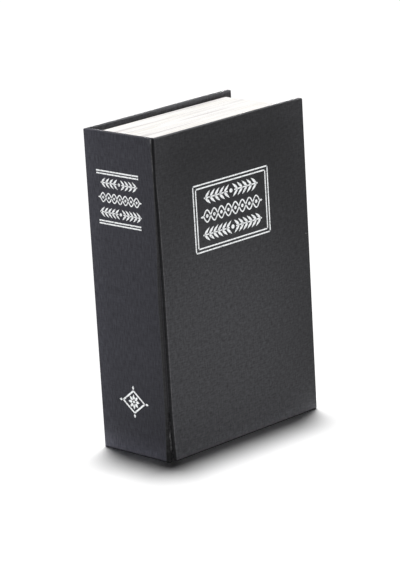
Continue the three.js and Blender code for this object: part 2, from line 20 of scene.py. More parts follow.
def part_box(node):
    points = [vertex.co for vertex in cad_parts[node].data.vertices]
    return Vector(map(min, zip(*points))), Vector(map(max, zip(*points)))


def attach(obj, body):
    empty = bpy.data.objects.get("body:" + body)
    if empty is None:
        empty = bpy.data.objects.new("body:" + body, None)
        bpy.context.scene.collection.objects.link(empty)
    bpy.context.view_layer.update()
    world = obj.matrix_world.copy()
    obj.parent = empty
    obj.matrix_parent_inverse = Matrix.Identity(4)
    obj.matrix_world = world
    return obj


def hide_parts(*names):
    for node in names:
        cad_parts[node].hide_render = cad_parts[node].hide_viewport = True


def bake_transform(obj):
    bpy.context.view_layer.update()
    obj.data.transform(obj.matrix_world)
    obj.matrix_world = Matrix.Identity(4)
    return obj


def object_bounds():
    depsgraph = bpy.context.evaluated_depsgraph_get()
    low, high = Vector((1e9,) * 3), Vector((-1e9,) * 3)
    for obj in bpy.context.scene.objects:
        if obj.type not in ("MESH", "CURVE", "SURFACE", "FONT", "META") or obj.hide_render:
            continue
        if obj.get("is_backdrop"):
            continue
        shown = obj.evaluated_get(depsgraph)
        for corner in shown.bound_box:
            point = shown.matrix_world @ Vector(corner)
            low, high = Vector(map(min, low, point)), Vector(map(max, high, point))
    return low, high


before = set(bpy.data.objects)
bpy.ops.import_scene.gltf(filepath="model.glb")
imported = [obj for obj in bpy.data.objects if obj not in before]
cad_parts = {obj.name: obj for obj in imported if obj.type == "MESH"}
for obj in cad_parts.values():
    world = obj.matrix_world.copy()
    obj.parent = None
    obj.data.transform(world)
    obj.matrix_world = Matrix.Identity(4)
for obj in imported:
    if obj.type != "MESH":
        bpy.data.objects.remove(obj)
CAD_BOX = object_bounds()

log = logging.getLogger("book_safe")

MM = 0.001
GLUE_FILM = 0.05 * MM
CLOTH_THICKNESS = 0.4 * MM
CONTACT_SHADOW_BAND = (0.3 * MM, 0.9 * MM)  # heights between which the painted contact shadow along the tail edge fades out
CONTACT_SHADOW_TONE = 0.05  # painted contact shadow: how much of the tone is left on the tail edge
SQUARE = 0.99  # least share of a unit normal along an axis that counts as square to it

Pair = tuple[float, float]
Stops = tuple[Pair, ...]
Corners = tuple[Vector, Vector]
Socket = bpy.types.NodeSocket
Vertex = bpy.types.MeshVertex


class Body(Enum):
    """What a piece moves with."""

    CASE = "case"
    COVER = "front_cover"
    LID = "lid"
    CYLINDER = "lock_cylinder"


class Slot(Enum):
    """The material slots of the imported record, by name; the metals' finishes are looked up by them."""

    CLOTH = "book_cloth"
    BOARD = "greyboard"
    ENDPAPER = "endpaper"
    PAGES = "pages"
    ENAMEL = "enamelled_steel"
    ZINC = "zinc_plated_steel"
    NICKEL = "nickel_plate"
    BRASS = "brass"


class Element(Enum):
    """What edit mode selects."""

    EDGE = "edges"
    FACE = "faces"


class Side(Enum):
    """Which cover, by the sign of its Y."""

    FRONT = -1
    BACK = 1


def linear(hex_colour: str) -> tuple[float, float, float, float]:
    """Turns an sRGB colour into linear light.

    Args:
        hex_colour: Six hex digits after a #.

    Returns:
        Red, green, blue and an alpha of 1.
    """
    channels = (int(hex_colour[i:i + 2], 16) / 255 for i in (1, 3, 5))
    return (*(c / 12.92 if c <= 0.04045 else ((c + 0.055) / 1.055) ** 2.4 for c in channels), 1.0)


@cache
def corners_of(node: str) -> Corners:
    """Returns a node's lowest and highest corner, as frozen vectors."""
    low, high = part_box(node)
    return low.freeze(), high.freeze()


def lerp(a: float, b: float, share: float) -> float:
    """Returns the value that lies a share of the way from a to b."""
    return a + (b - a) * share


def smooth(low: float, high: float, value: float) -> float:
    """Returns 0 at low, 1 at high, and eases between them."""
    share = min(1.0, max(0.0, (value - low) / (high - low)))
    return share * share * (3 - 2 * share)


def divided(low: float, high: float, count: int) -> list[float]:
    """Returns the places that part a stretch into equal lengths."""
    return [lerp(low, high, index / count) for index in range(1, count)]


def curve(*stops: Pair, unit: float = 1.0) -> Stops:
    """Returns a curve's stops, each given as its place in millimetres and its value in a unit."""
    return tuple((place * MM, value * unit) for place, value in stops)


def along(stops: Stops, place: float) -> float:
    """Reads a curve, eased from each stop to the next.

    Args:
        stops: Place and value of each stop, in order of place.
        place: Where the curve is read.

    Returns:
        The value there, or the nearest end's value outside the stops.
    """
    value = stops[0][1]
    for (low, _), (high, ahead) in zip(stops, stops[1:]):
        value = lerp(value, ahead, smooth(low, high, place)) if place > low else value
    return value


def grit(*place: float) -> float:
    """Returns smooth noise at a place, between about -1 and 1."""
    return noise.noise(Vector(place))


def bearing(azimuth: float, elevation: float) -> Vector:
    """Returns the way to a place that is seen under two angles, in degrees, from the front cover's side."""
    az, el = math.radians(azimuth), math.radians(elevation)
    return Vector((math.sin(az) * math.cos(el), -math.cos(az) * math.cos(el), math.sin(el)))


class NodeSheet:
    """A node tree that is being laid out."""

    def __init__(self, tree: bpy.types.NodeTree) -> None:
        """Takes the tree."""
        self.tree = tree

    def add(
        self, kind: str, inputs: dict[str | int, object] | None = None, out: str | int = 0, **settings: object
    ) -> Socket:
        """Adds a node with its settings, socket values and incoming links.

        Args:
            kind: The node's type, without the leading ShaderNode.
            inputs: What each input gets, as in feed.
            out: The output that is wanted, by name or index.
            **settings: Properties of the node itself.

        Returns:
            The wanted output.
        """
        node = self.tree.nodes.new(f"ShaderNode{kind}")
        for name, value in settings.items():
            setattr(node, name, value)
        self.feed(node, inputs or {})
        return node.outputs[out]

    def feed(self, node: bpy.types.Node, inputs: dict[str | int, object]) -> None:
        """Links or sets a node's inputs.

        Args:
            node: The node.
            inputs: An output socket to link from, or a plain value, for each input's name or index.
        """
        for name, value in inputs.items():
            if isinstance(value, Socket):
                self.tree.links.new(value, node.inputs[name])
            else:
                node.inputs[name].default_value = value


class Surface(NodeSheet):
    """A material that is being made round its principled shader."""

    def __init__(self, name: str) -> None:
        """Starts a material of that name.

        Args:
            name: The material's name.
        """
        self.material = bpy.data.materials.new(name)
        self.material.use_nodes = True
        super().__init__(self.material.node_tree)

    @cached_property
    def place(self) -> Socket:
        """Returns the object coordinates."""
        return self.add("TexCoord", out="Object")

    def grain(self, place: Socket, sizes: tuple[float, float, float], **inputs: float) -> Socket:
        """Lays a noise whose grains have a real size along each axis.

        Args:
            place: The coordinates that it reads.
            sizes: How large a grain is along X, Y and Z.
            **inputs: Plain values of the noise.

        Returns:
            The noise, from 0 to 1.
        """
        scaled = self.add("Mapping", {"Vector": place, "Scale": tuple(1 / size for size in sizes)})
        return self.add("TexNoise", {"Vector": scaled, "Scale": 1.0, **inputs})

    def finish(
        self, colour: Socket, relief: Socket, strength: float, depth: float, **inputs: object
    ) -> bpy.types.Material:
        """Gives the shader its colour, its relief and its other inputs.

        Args:
            colour: The base colour.
            relief: The height of the surface, from 0 to 1.
            strength: How strongly the relief shows.
            depth: How deep it is.
            **inputs: Other sockets or plain values, with _ for each space in an input's name.

        Returns:
            The material.
        """
        bump = self.add("Bump", {"Strength": strength, "Distance": depth, "Height": relief})
        rest = {name.replace("_", " "): value for name, value in inputs.items()}
        self.feed(self.tree.nodes["Principled BSDF"], {"Base Color": colour, "Normal": bump, **rest})
        return self.material


def set_ramp(colour: Socket, *stops: tuple[float, str]) -> Socket:
    """Sets a colour ramp's stops.

    Args:
        colour: The colour output of the ramp, which has its first two stops.
        *stops: Position and sRGB hex colour of each stop, in order.

    Returns:
        The same output.
    """
    elements = colour.node.color_ramp.elements
    while len(elements) < len(stops):
        elements.new(1.0)
    for element, (position, hex_colour) in zip(elements, stops):
        element.position = position
        element.color = linear(hex_colour)
    return colour


@dataclass(frozen=True)
class BookCloth:
    """Charcoal book cloth: filled cotton weave with a matt, slightly slubby face, greyer where it is rubbed
    and where a highlight is painted along rounded edges.

    Each mesh stores how much of the pale rubbed colour its cloth takes, for real rubbing and for painted
    highlights, and how pale it is drawn (tone, 1 as woven), which carries painted light and shade.
    """

    name: str = "charcoal_book_cloth"
    dark: str = "#323234"
    light: str = "#4b4b4e"
    # pale colour of rubbed threads, also used for painted highlights on rounded edges
    rubbed_and_highlit: str = "#a0a0a2"
    thread: float = 0.55 * MM  # a real thread is about 0.3 mm, drawn coarser so that it shows
    slub_width: float = 0.9 * MM  # slubs are coarser than real ones too
    slub_length: float = 3 * MM
    weft_share: float = 0.5
    patch: float = 1.6 * MM
    speck_pitch: float = 26 * MM
    speck_radius: float = 0.4 * MM
    gloss: float = 0.16  # loose threads scatter most of what a smooth surface would reflect

    def build(self) -> bpy.types.Material:
        """Makes the material, with threads that run along the height and across.

        Returns:
            The material.
        """
        surface = Surface(self.name)
        x, y, z = surface.add("SeparateXYZ", {0: surface.place}).node.outputs
        across = surface.add("Math", {0: x, 1: y}, operation="ADD")
        flat = surface.add("CombineXYZ", {0: across, 1: z})
        bands = 2 * math.pi / (20 * self.thread)  # a wave of scale 1 repeats 20 times in 2 pi
        drawn = {"Vector": flat, "Scale": bands, "Distortion": 1.2, "Detail": 1.0, "Detail Scale": 0.02}
        warp, weft = (surface.add("TexWave", drawn, out=1, bands_direction=way) for way in "XY")
        weave = surface.add("Math", {0: warp, 1: weft}, operation="MAXIMUM")
        upright, level = (
            surface.grain(flat, (*sizes, 1.0), Detail=3.0, Roughness=0.55)
            for sizes in ((self.slub_width, self.slub_length), (self.slub_length, self.slub_width))
        )
        slub = surface.add("Mix", {0: self.weft_share, 2: upright, 3: level}, data_type="FLOAT")
        woven = set_ramp(surface.add("ValToRGB", {0: slub}), (0.34, self.dark), (0.66, self.light))
        # the tone scales the woven colour: it carries painted light and shade
        tone = surface.add("Attribute", out="Fac", attribute_name="tone", attribute_type="GEOMETRY")
        toned_colour = surface.add("VectorMath", {0: woven, "Scale": tone}, operation="SCALE")
        worn_and_highlit = self.wear_and_highlight_share(surface)
        colour = surface.add("Mix", {0: worn_and_highlit, 6: toned_colour, 7: linear(self.rubbed_and_highlit)}, out=2, data_type="RGBA")
        relief = surface.add("Mix", {0: 0.5, 2: weave, 3: slub}, data_type="FLOAT")
        return surface.finish(
            colour, relief, 0.55, 0.08 * MM, Roughness=0.7, IOR=1.45, Specular_IOR_Level=self.gloss
        )

    def wear_and_highlight_share(self, surface: Surface) -> Socket:
        """Returns how much of the rubbed colour each point takes: the mesh's rubbing and painted highlights,
        broken up by noise, and a few specks.

        Args:
            surface: The material that is being made.

        Returns:
            The share, from 0 to 1.
        """
        place = surface.place
        wear = surface.add("Attribute", out="Fac", attribute_name="wear", attribute_type="GEOMETRY")
        patches = surface.add("TexNoise", {"Vector": place, "Scale": 1 / self.patch, "Detail": 3.0})
        broken = surface.add("MapRange", {0: patches, 1: 0.4, 2: 0.68, 3: 0.25, 4: 1.0})
        edge = surface.add("Math", {0: wear, 1: broken}, operation="MULTIPLY")
        away = surface.add("TexVoronoi", {"Vector": place, "Scale": 1 / self.speck_pitch}, out="Distance")
        speck = surface.add("Math", {0: away, 1: self.speck_radius / self.speck_pitch}, operation="LESS_THAN")
        faint = surface.add("Math", {0: speck, 1: 0.35}, operation="MULTIPLY")
        return surface.add("Math", {0: edge, 1: faint}, operation="MAXIMUM")


@dataclass(frozen=True)
class PageEdges:
    """Book paper, cut square: near white, with the edges of its leaves as fine uneven lines."""

    name: str = "uncoated_book_paper"
    light: str = "#faf9f8"
    grey: str = "#dadadb"
    rosy: str = "#dedbda"
    cream: str = "#efece4"
    leaf: float = 0.45 * MM  # a leaf is about 0.1 mm, drawn coarser so that it shows
    gathering: float = 3.2 * MM
    run: float = 90 * MM

    def build(self) -> bpy.types.Material:
        """Makes the material, with its lines across the book's thickness.

        Returns:
            The material.
        """
        surface = Surface(self.name)
        leaves, gatherings = (
            surface.grain(surface.place, (self.run, pitch, self.run), Detail=detail, Roughness=0.6)
            for pitch, detail in ((self.leaf, 2.0), (self.gathering, 1.0))
        )
        shades = ((0.3, self.grey), (0.46, self.light), (1.0, self.light))
        tints = (
            (0.36, self.rosy), (0.43, self.light), (0.56, self.light), (0.62, self.cream), (0.7, self.light)
        )
        shade = set_ramp(surface.add("ValToRGB", {0: leaves}), *shades)
        tint = set_ramp(surface.add("ValToRGB", {0: gatherings}), *tints)
        colour = surface.add(
            "Mix", {0: 1.0, 6: shade, 7: tint}, out=2, data_type="RGBA", blend_type="MULTIPLY"
        )
        return surface.finish(colour, leaves, 0.5, 0.1 * MM, Roughness=0.85, IOR=1.5)


@dataclass(frozen=True)
class SheetStock:
    """Pressed fibre sheet, such as endpaper or greyboard: matt, with a soft mottle of fibres."""

    name: str
    light: str
    dark: str
    fibre: float
    tooth: float

    def build(self) -> bpy.types.Material:
        """Makes the material.

        Returns:
            The material.
        """
        surface = Surface(self.name)
        mottle = {"Scale": 1 / self.fibre, "Detail": 6.0, "Roughness": 0.7, "Distortion": 0.4}
        fibres = surface.add("TexNoise", {"Vector": surface.place, **mottle})
        colour = set_ramp(surface.add("ValToRGB", {0: fibres}), (0.35, self.dark), (0.6, self.light))
        return surface.finish(colour, fibres, 0.4, self.tooth, Roughness=0.9, IOR=1.5)


@dataclass(frozen=True)
class StampedFoil:
    """Silver foil, hot stamped into the cloth: bright, softly reflecting, and thin where threads dip."""

    name: str = "hot_stamped_silver_foil"
    silver: str = "#eef0f1"
    cloth: str = "#2c2c2f"
    grain: float = 0.7 * MM

    def build(self) -> bpy.types.Material:
        """Makes the material.

        Returns:
            The material.
        """
        surface = Surface(self.name)
        woven = {"Scale": 1 / self.grain, "Detail": 3.0, "Roughness": 0.6}
        dips = surface.add("TexNoise", {"Vector": surface.place, **woven})
        kept, metal = (
            surface.add("MapRange", {0: dips, 1: 0.34, 2: 0.46, 3: least, 4: most})
            for least, most in ((0.25, 1.0), (0.0, 0.75))
        )
        colours = {6: linear(self.cloth), 7: linear(self.silver)}
        colour = surface.add("Mix", {0: kept, **colours}, out=2, data_type="RGBA")
        return surface.finish(colour, dips, 0.4, 0.06 * MM, Metallic=metal, Roughness=0.38)


@dataclass(frozen=True)
class BakedEnamel:
    """Black baked enamel on sheet steel: satin, with a faint orange peel."""

    name: str = "black_baked_enamel"
    colour: str = "#1b1c1e"
    lifted: str = "#26272a"
    peel: float = 0.9 * MM
    cloud: float = 18 * MM

    def build(self) -> bpy.types.Material:
        """Makes the material.

        Returns:
            The material.
        """
        surface = Surface(self.name)
        peel, cloud = (
            surface.add("TexNoise", {"Vector": surface.place, "Scale": 1 / size, "Detail": detail})
            for size, detail in ((self.peel, 2.0), (self.cloud, 3.0))
        )
        colours = {6: linear(self.colour), 7: linear(self.lifted)}
        colour = surface.add("Mix", {0: cloud, **colours}, out=2, data_type="RGBA")
        rough = surface.add("MapRange", {0: cloud, 1: 0.3, 2: 0.7, 3: 0.36, 4: 0.48})
        return surface.finish(colour, peel, 0.35, 0.05 * MM, Roughness=rough, IOR=1.5)


@dataclass(frozen=True)
class PlatedMetal:
    """Plated or bare metal: its colour drifts a little, and fine marks blur its reflections."""

    name: str
    colour: str
    drift: str
    roughness: Pair
    marks: tuple[float, float, float]
    cloud: float = 5 * MM
    depth: float = 0.01 * MM

    def build(self) -> bpy.types.Material:
        """Makes the material.

        Returns:
            The material.
        """
        surface = Surface(self.name)
        cloud = surface.add("TexNoise", {"Vector": surface.place, "Scale": 1 / self.cloud, "Detail": 3.0})
        marks = surface.grain(surface.place, self.marks, Detail=3.0)
        colours = {6: linear(self.colour), 7: linear(self.drift)}
        colour = surface.add("Mix", {0: cloud, **colours}, out=2, data_type="RGBA")
        least, most = self.roughness
        rough = surface.add("MapRange", {0: marks, 1: 0.3, 2: 0.7, 3: least, 4: most})
        return surface.finish(colour, marks, 0.5, self.depth, Roughness=rough, Metallic=1.0)


class Finishes:
    """The materials of the book and the safe, each made once."""

    def __init__(self) -> None:
        """Makes every material."""
        self.cloth = BookCloth().build()
        # painted shade: the spine's copy of the cloth is drawn bluish for the bluish shade on the spine
        self.spine_cloth = BookCloth(
            "ribbed_charcoal_book_cloth",
            dark="#2f2f35",
            light="#44444b",
            slub_width=0.8 * MM,
            slub_length=4.5 * MM,
            weft_share=0.3,
        ).build()
        self.pages = PageEdges().build()
        self.endpaper = SheetStock("smooth_endpaper", "#f4f2ec", "#eae7de", 4 * MM, 0.03 * MM).build()
        self.board = SheetStock("greyboard", "#8f897e", "#757065", 1.5 * MM, 0.12 * MM).build()
        self.foil = StampedFoil().build()
        drawn = (0.8 * MM, 0.8 * MM, 6 * MM)
        zinc = PlatedMetal("bright_zinc_plate", "#b9bdc1", "#a9aeb6", (0.26, 0.4), drawn)
        nickel = PlatedMetal("polished_nickel_plate", "#d6d2ca", "#cbc8c2", (0.1, 0.2), (1.5 * MM,) * 3)
        brass = PlatedMetal("turned_brass", "#c2a05a", "#b08c47", (0.2, 0.32), (0.5 * MM,) * 3)
        self.metals = {
            Slot.ENAMEL: BakedEnamel().build(),
            Slot.ZINC: zinc.build(),
            Slot.NICKEL: nickel.build(),
            Slot.BRASS: brass.build(),
        }


def deselect_all() -> None:
    """Leaves edit mode and deselects every object."""
    if bpy.context.object is not None and bpy.context.object.mode != "OBJECT":
        bpy.ops.object.mode_set(mode="OBJECT")
    bpy.ops.object.select_all(action="DESELECT")


class Workpiece:
    """A mesh that is modelled by hand: started as a primitive, then shaped in edit mode."""

    def __init__(self, obj: bpy.types.Object, name: str) -> None:
        """Takes the object and names it.

        Args:
            obj: The object.
            name: The name for it and its mesh.
        """
        self.obj = obj
        obj.name = name
        obj.data.name = name

    @classmethod
    def started(cls, name: str) -> "Workpiece":
        """Takes the primitive that was just added, and puts its place into its mesh."""
        bpy.ops.object.transform_apply(location=True, rotation=True, scale=True)
        return cls(bpy.context.object, name)

    @classmethod
    def box(cls, name: str, low: Vector, high: Vector) -> "Workpiece":
        """Starts from a cube between two corners.

        Args:
            name: The piece's name.
            low: Its lowest corner.
            high: Its highest corner.

        Returns:
            The workpiece.
        """
        deselect_all()
        bpy.ops.mesh.primitive_cube_add(size=1.0, location=(low + high) / 2)
        bpy.context.object.scale = high - low
        return cls.started(name)

    @classmethod
    def grid(cls, name: str, columns: int, rows: int) -> "Workpiece":
        """Starts from a flat grid of a unit's width.

        Args:
            name: The piece's name.
            columns: How many faces it has along X.
            rows: How many it has along Y.

        Returns:
            The workpiece.
        """
        deselect_all()
        bpy.ops.mesh.primitive_grid_add(x_subdivisions=columns, y_subdivisions=rows, size=1.0)
        return cls.started(name)

    @classmethod
    def copied(cls, source: bpy.types.Object, name: str) -> "Workpiece":
        """Starts from an object's mesh, with a mesh of its own.

        Args:
            source: The object.
            name: The piece's name.

        Returns:
            The workpiece.
        """
        obj = bpy.data.objects.new(name, source.data.copy())
        bpy.context.scene.collection.objects.link(obj)
        return cls(obj, name)

    @classmethod
    def copy_of(cls, node: str, name: str) -> "Workpiece":
        """Starts from a merged copy of a node of the frame.

        Args:
            node: The node's name.
            name: The piece's name.

        Returns:
            The workpiece.
        """
        piece = cls.copied(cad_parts[node], name)
        piece.pick_all()
        bpy.ops.mesh.remove_doubles(threshold=0.002 * MM)
        bpy.ops.mesh.dissolve_limited(angle_limit=math.radians(0.5))
        return piece

    def copy(self, name: str) -> "Workpiece":
        """Makes a copy with a mesh of its own."""
        return self.copied(self.obj, name)

    def enter(self) -> None:
        """Goes into edit mode on this piece."""
        if self.obj.mode != "EDIT":
            self.leave()
            bpy.ops.object.mode_set(mode="EDIT")

    def leave(self) -> None:
        """Goes back to object mode, with this piece alone selected."""
        deselect_all()
        bpy.context.view_layer.objects.active = self.obj
        self.obj.select_set(True)

    def pick(self, element: Element, test: Callable[[object], bool]) -> int:
        """Selects only what passes a test.

        Args:
            element: Edges or faces.
            test: Takes the element and says whether it is wanted.

        Returns:
            How many were selected.
        """
        self.enter()
        bpy.ops.mesh.select_mode(type=element.name)
        bpy.ops.mesh.select_all(action="DESELECT")
        mesh = bmesh.from_edit_mesh(self.obj.data)
        wanted = [each for each in getattr(mesh, element.value) if test(each)]
        for each in wanted:
            each.select_set(True)
        bmesh.update_edit_mesh(self.obj.data)
        return len(wanted)

    def pick_all(self) -> None:
        """Selects the whole mesh."""
        self.enter()
        bpy.ops.mesh.select_all(action="SELECT")

    def bevel(self, offset: float, segments: int) -> None:
        """Rounds the selected edges."""
        bpy.ops.mesh.bevel(offset=offset, segments=segments, affect="EDGES", clamp_overlap=True)

    def inset(self, thickness: float) -> None:
        """Insets the selected faces."""
        bpy.ops.mesh.inset(thickness=thickness, use_even_offset=True)

    def delete_faces(self) -> None:
        """Deletes the selected faces."""
        bpy.ops.mesh.delete(type="FACE")

    def cut_every(self, axis: int, places: Iterable[float]) -> None:
        """Cuts the whole mesh square to an axis at each place.

        Args:
            axis: 0, 1 or 2 for X, Y or Z.
            places: Where it is cut, along that axis.
        """
        for place in places:
            point, normal = Vector(), Vector()
            point[axis] = place
            normal[axis] = 1.0
            self.pick_all()
            bpy.ops.mesh.bisect(plane_co=tuple(point), plane_no=tuple(normal))

    def modify(self, kind: str, **settings: object) -> None:
        """Adds a modifier of a kind, sets its properties and applies it.

        Args:
            kind: The modifier's type.
            **settings: Its properties.
        """
        self.leave()
        bpy.ops.object.modifier_add(type=kind)
        modifier = self.obj.modifiers[-1]
        for name, value in settings.items():
            setattr(modifier, name, value)
        bpy.ops.object.modifier_apply(modifier=modifier.name)

    def move_points(self, rule: Callable[[Vector], Vector]) -> None:
        """Moves every vertex to where a rule puts it.

        Args:
            rule: Takes a vertex's place and returns the new one.
        """
        if self.obj.mode == "EDIT":
            self.leave()
        for vertex in self.obj.data.vertices:
            vertex.co = rule(vertex.co.copy())
        self.obj.data.update()

    def face_outwards(self) -> None:
        """Turns every face outwards."""
        self.pick_all()
        bpy.ops.mesh.normals_make_consistent(inside=False)

    def mark(self, name: str, rule: Callable[[Vertex], float]) -> None:
        """Stores a value at each vertex for the material to read.

        Args:
            name: The attribute's name.
            rule: Takes a vertex and returns its value.
        """
        self.leave()
        layer = self.obj.data.attributes.new(name, "FLOAT", "POINT")
        for vertex in self.obj.data.vertices:
            layer.data[vertex.index].value = rule(vertex)

    def paint(self, material: bpy.types.Material) -> None:
        """Gives the piece one finish."""
        self.obj.data.materials.clear()
        self.obj.data.materials.append(material)

    def done(
        self,
        material: bpy.types.Material,
        slot: Slot,
        body: Body,
        stands_for: Iterable[str],
        smooth_angle: float = 35.0,
        flat_faces: bool = False,
    ) -> bpy.types.Object:
        """Dresses the piece, puts it on its body and reports it.

        Args:
            material: Its finish.
            slot: The record's slot for that finish; not used.
            body: What it moves with.
            stands_for: Nodes of the frame that it replaces.
            smooth_angle: Edges flatter than this, in degrees, are shaded smooth.
            flat_faces: Keeps large flat faces from taking on the shading of the rounded edges.

        Returns:
            The finished object.
        """
        self.leave()
        bpy.ops.object.shade_smooth_by_angle(angle=math.radians(smooth_angle))
        if flat_faces:
            self.modify("WEIGHTED_NORMAL", mode="FACE_AREA", weight=100, keep_sharp=True)
        self.paint(material)
        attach(self.obj, body.value)
        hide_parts(*stands_for)
        log.info("%s: %d faces, on %s", self.obj.name, len(self.obj.data.polygons), body.value)
        return self.obj


def is_rounding(vertex: Vertex) -> bool:
    """Says whether a vertex lies on a rounded edge, by its slanting normal."""
    return max(abs(share) for share in vertex.normal) < 0.96


def is_right_angle(edge: bmesh.types.BMEdge) -> bool:
    """Says whether an edge lies between two faces that meet at about a right angle."""
    return len(edge.link_faces) == 2 and edge.calc_face_angle() > 1.0


def contact_shadowed(height: float) -> float:
    """Returns how much of the tone is left at a height: little on the tail edge, a painted contact shadow."""
    return lerp(CONTACT_SHADOW_TONE, 1.0, smooth(*CONTACT_SHADOW_BAND, height))


def joined(pieces: list[Workpiece]) -> Workpiece:
    """Joins workpieces into the first of them and returns it.

    Args:
        pieces: The workpieces.

    Returns:
        The first one, which then holds them all.
    """
    deselect_all()
    for piece in pieces:
        piece.obj.select_set(True)
    bpy.context.view_layer.objects.active = pieces[0].obj
    bpy.ops.object.join()
    return pieces[0]


@dataclass
class ClothShell:
    """Book cloth round a board: closed outside, turned in at the rim, and open in the middle inside."""

    name: str
    node: str
    body: Body
    inward: Vector
    turn_in: float
    finishes: Finishes
    corner_radius: float = 1.1 * MM
    edge_radius: float = 0.45 * MM
    grid_step: float = 6 * MM
    tiny: float = 0.01 * MM

    def corners(self) -> Corners:
        """Returns the lowest and highest corner of the cloth."""
        return corners_of(self.node)

    def is_corner(self, edge: bmesh.types.BMEdge) -> bool:
        """Says whether an edge of the plain box gets the corner radius."""
        return False

    def settle(self, point: Vector) -> Vector:
        """Returns where a point of the square shell belongs on the real one."""
        raise NotImplementedError

    def rubbed_and_highlit(self, vertex: Vertex) -> float:
        """Returns how much of the rubbed colour a vertex takes, for rubbing and for painted highlights."""
        raise NotImplementedError

    def tone(self, vertex: Vertex) -> float:
        """Returns how pale a vertex is drawn (1 as woven), painted light and shade included."""
        raise NotImplementedError

    def finish(self) -> bpy.types.Material:
        """Returns the cloth's material."""
        return self.finishes.cloth

    def columns(self) -> list[float]:
        """Returns the X of each cut along the height."""
        return []

    def open_up(self, piece: Workpiece) -> None:
        """Takes away more of the plain box, where the cloth goes on as another piece."""

    def build(self) -> None:
        """Makes the cloth."""
        low, high = self.corners()
        piece = Workpiece.box(self.name, low, high)
        piece.pick(Element.FACE, lambda f: f.normal.dot(self.inward) > SQUARE)
        piece.inset(self.turn_in)
        piece.delete_faces()
        self.open_up(piece)
        if piece.pick(Element.EDGE, self.is_corner):
            piece.bevel(self.corner_radius, 5)
        piece.pick(Element.EDGE, is_right_angle)
        piece.bevel(self.edge_radius, 4)
        rows = divided(low.z, high.z, int((high.z - low.z) / self.grid_step))
        piece.cut_every(2, [low.z + CONTACT_SHADOW_BAND[1], *rows])
        piece.cut_every(0, self.columns())
        piece.face_outwards()
        piece.modify("SOLIDIFY", thickness=CLOTH_THICKNESS, offset=-1.0)
        piece.move_points(self.settle)
        piece.mark("wear", self.rubbed_and_highlit)
        piece.mark("tone", self.tone)
        piece.done(self.finish(), Slot.CLOTH, self.body, [self.node])


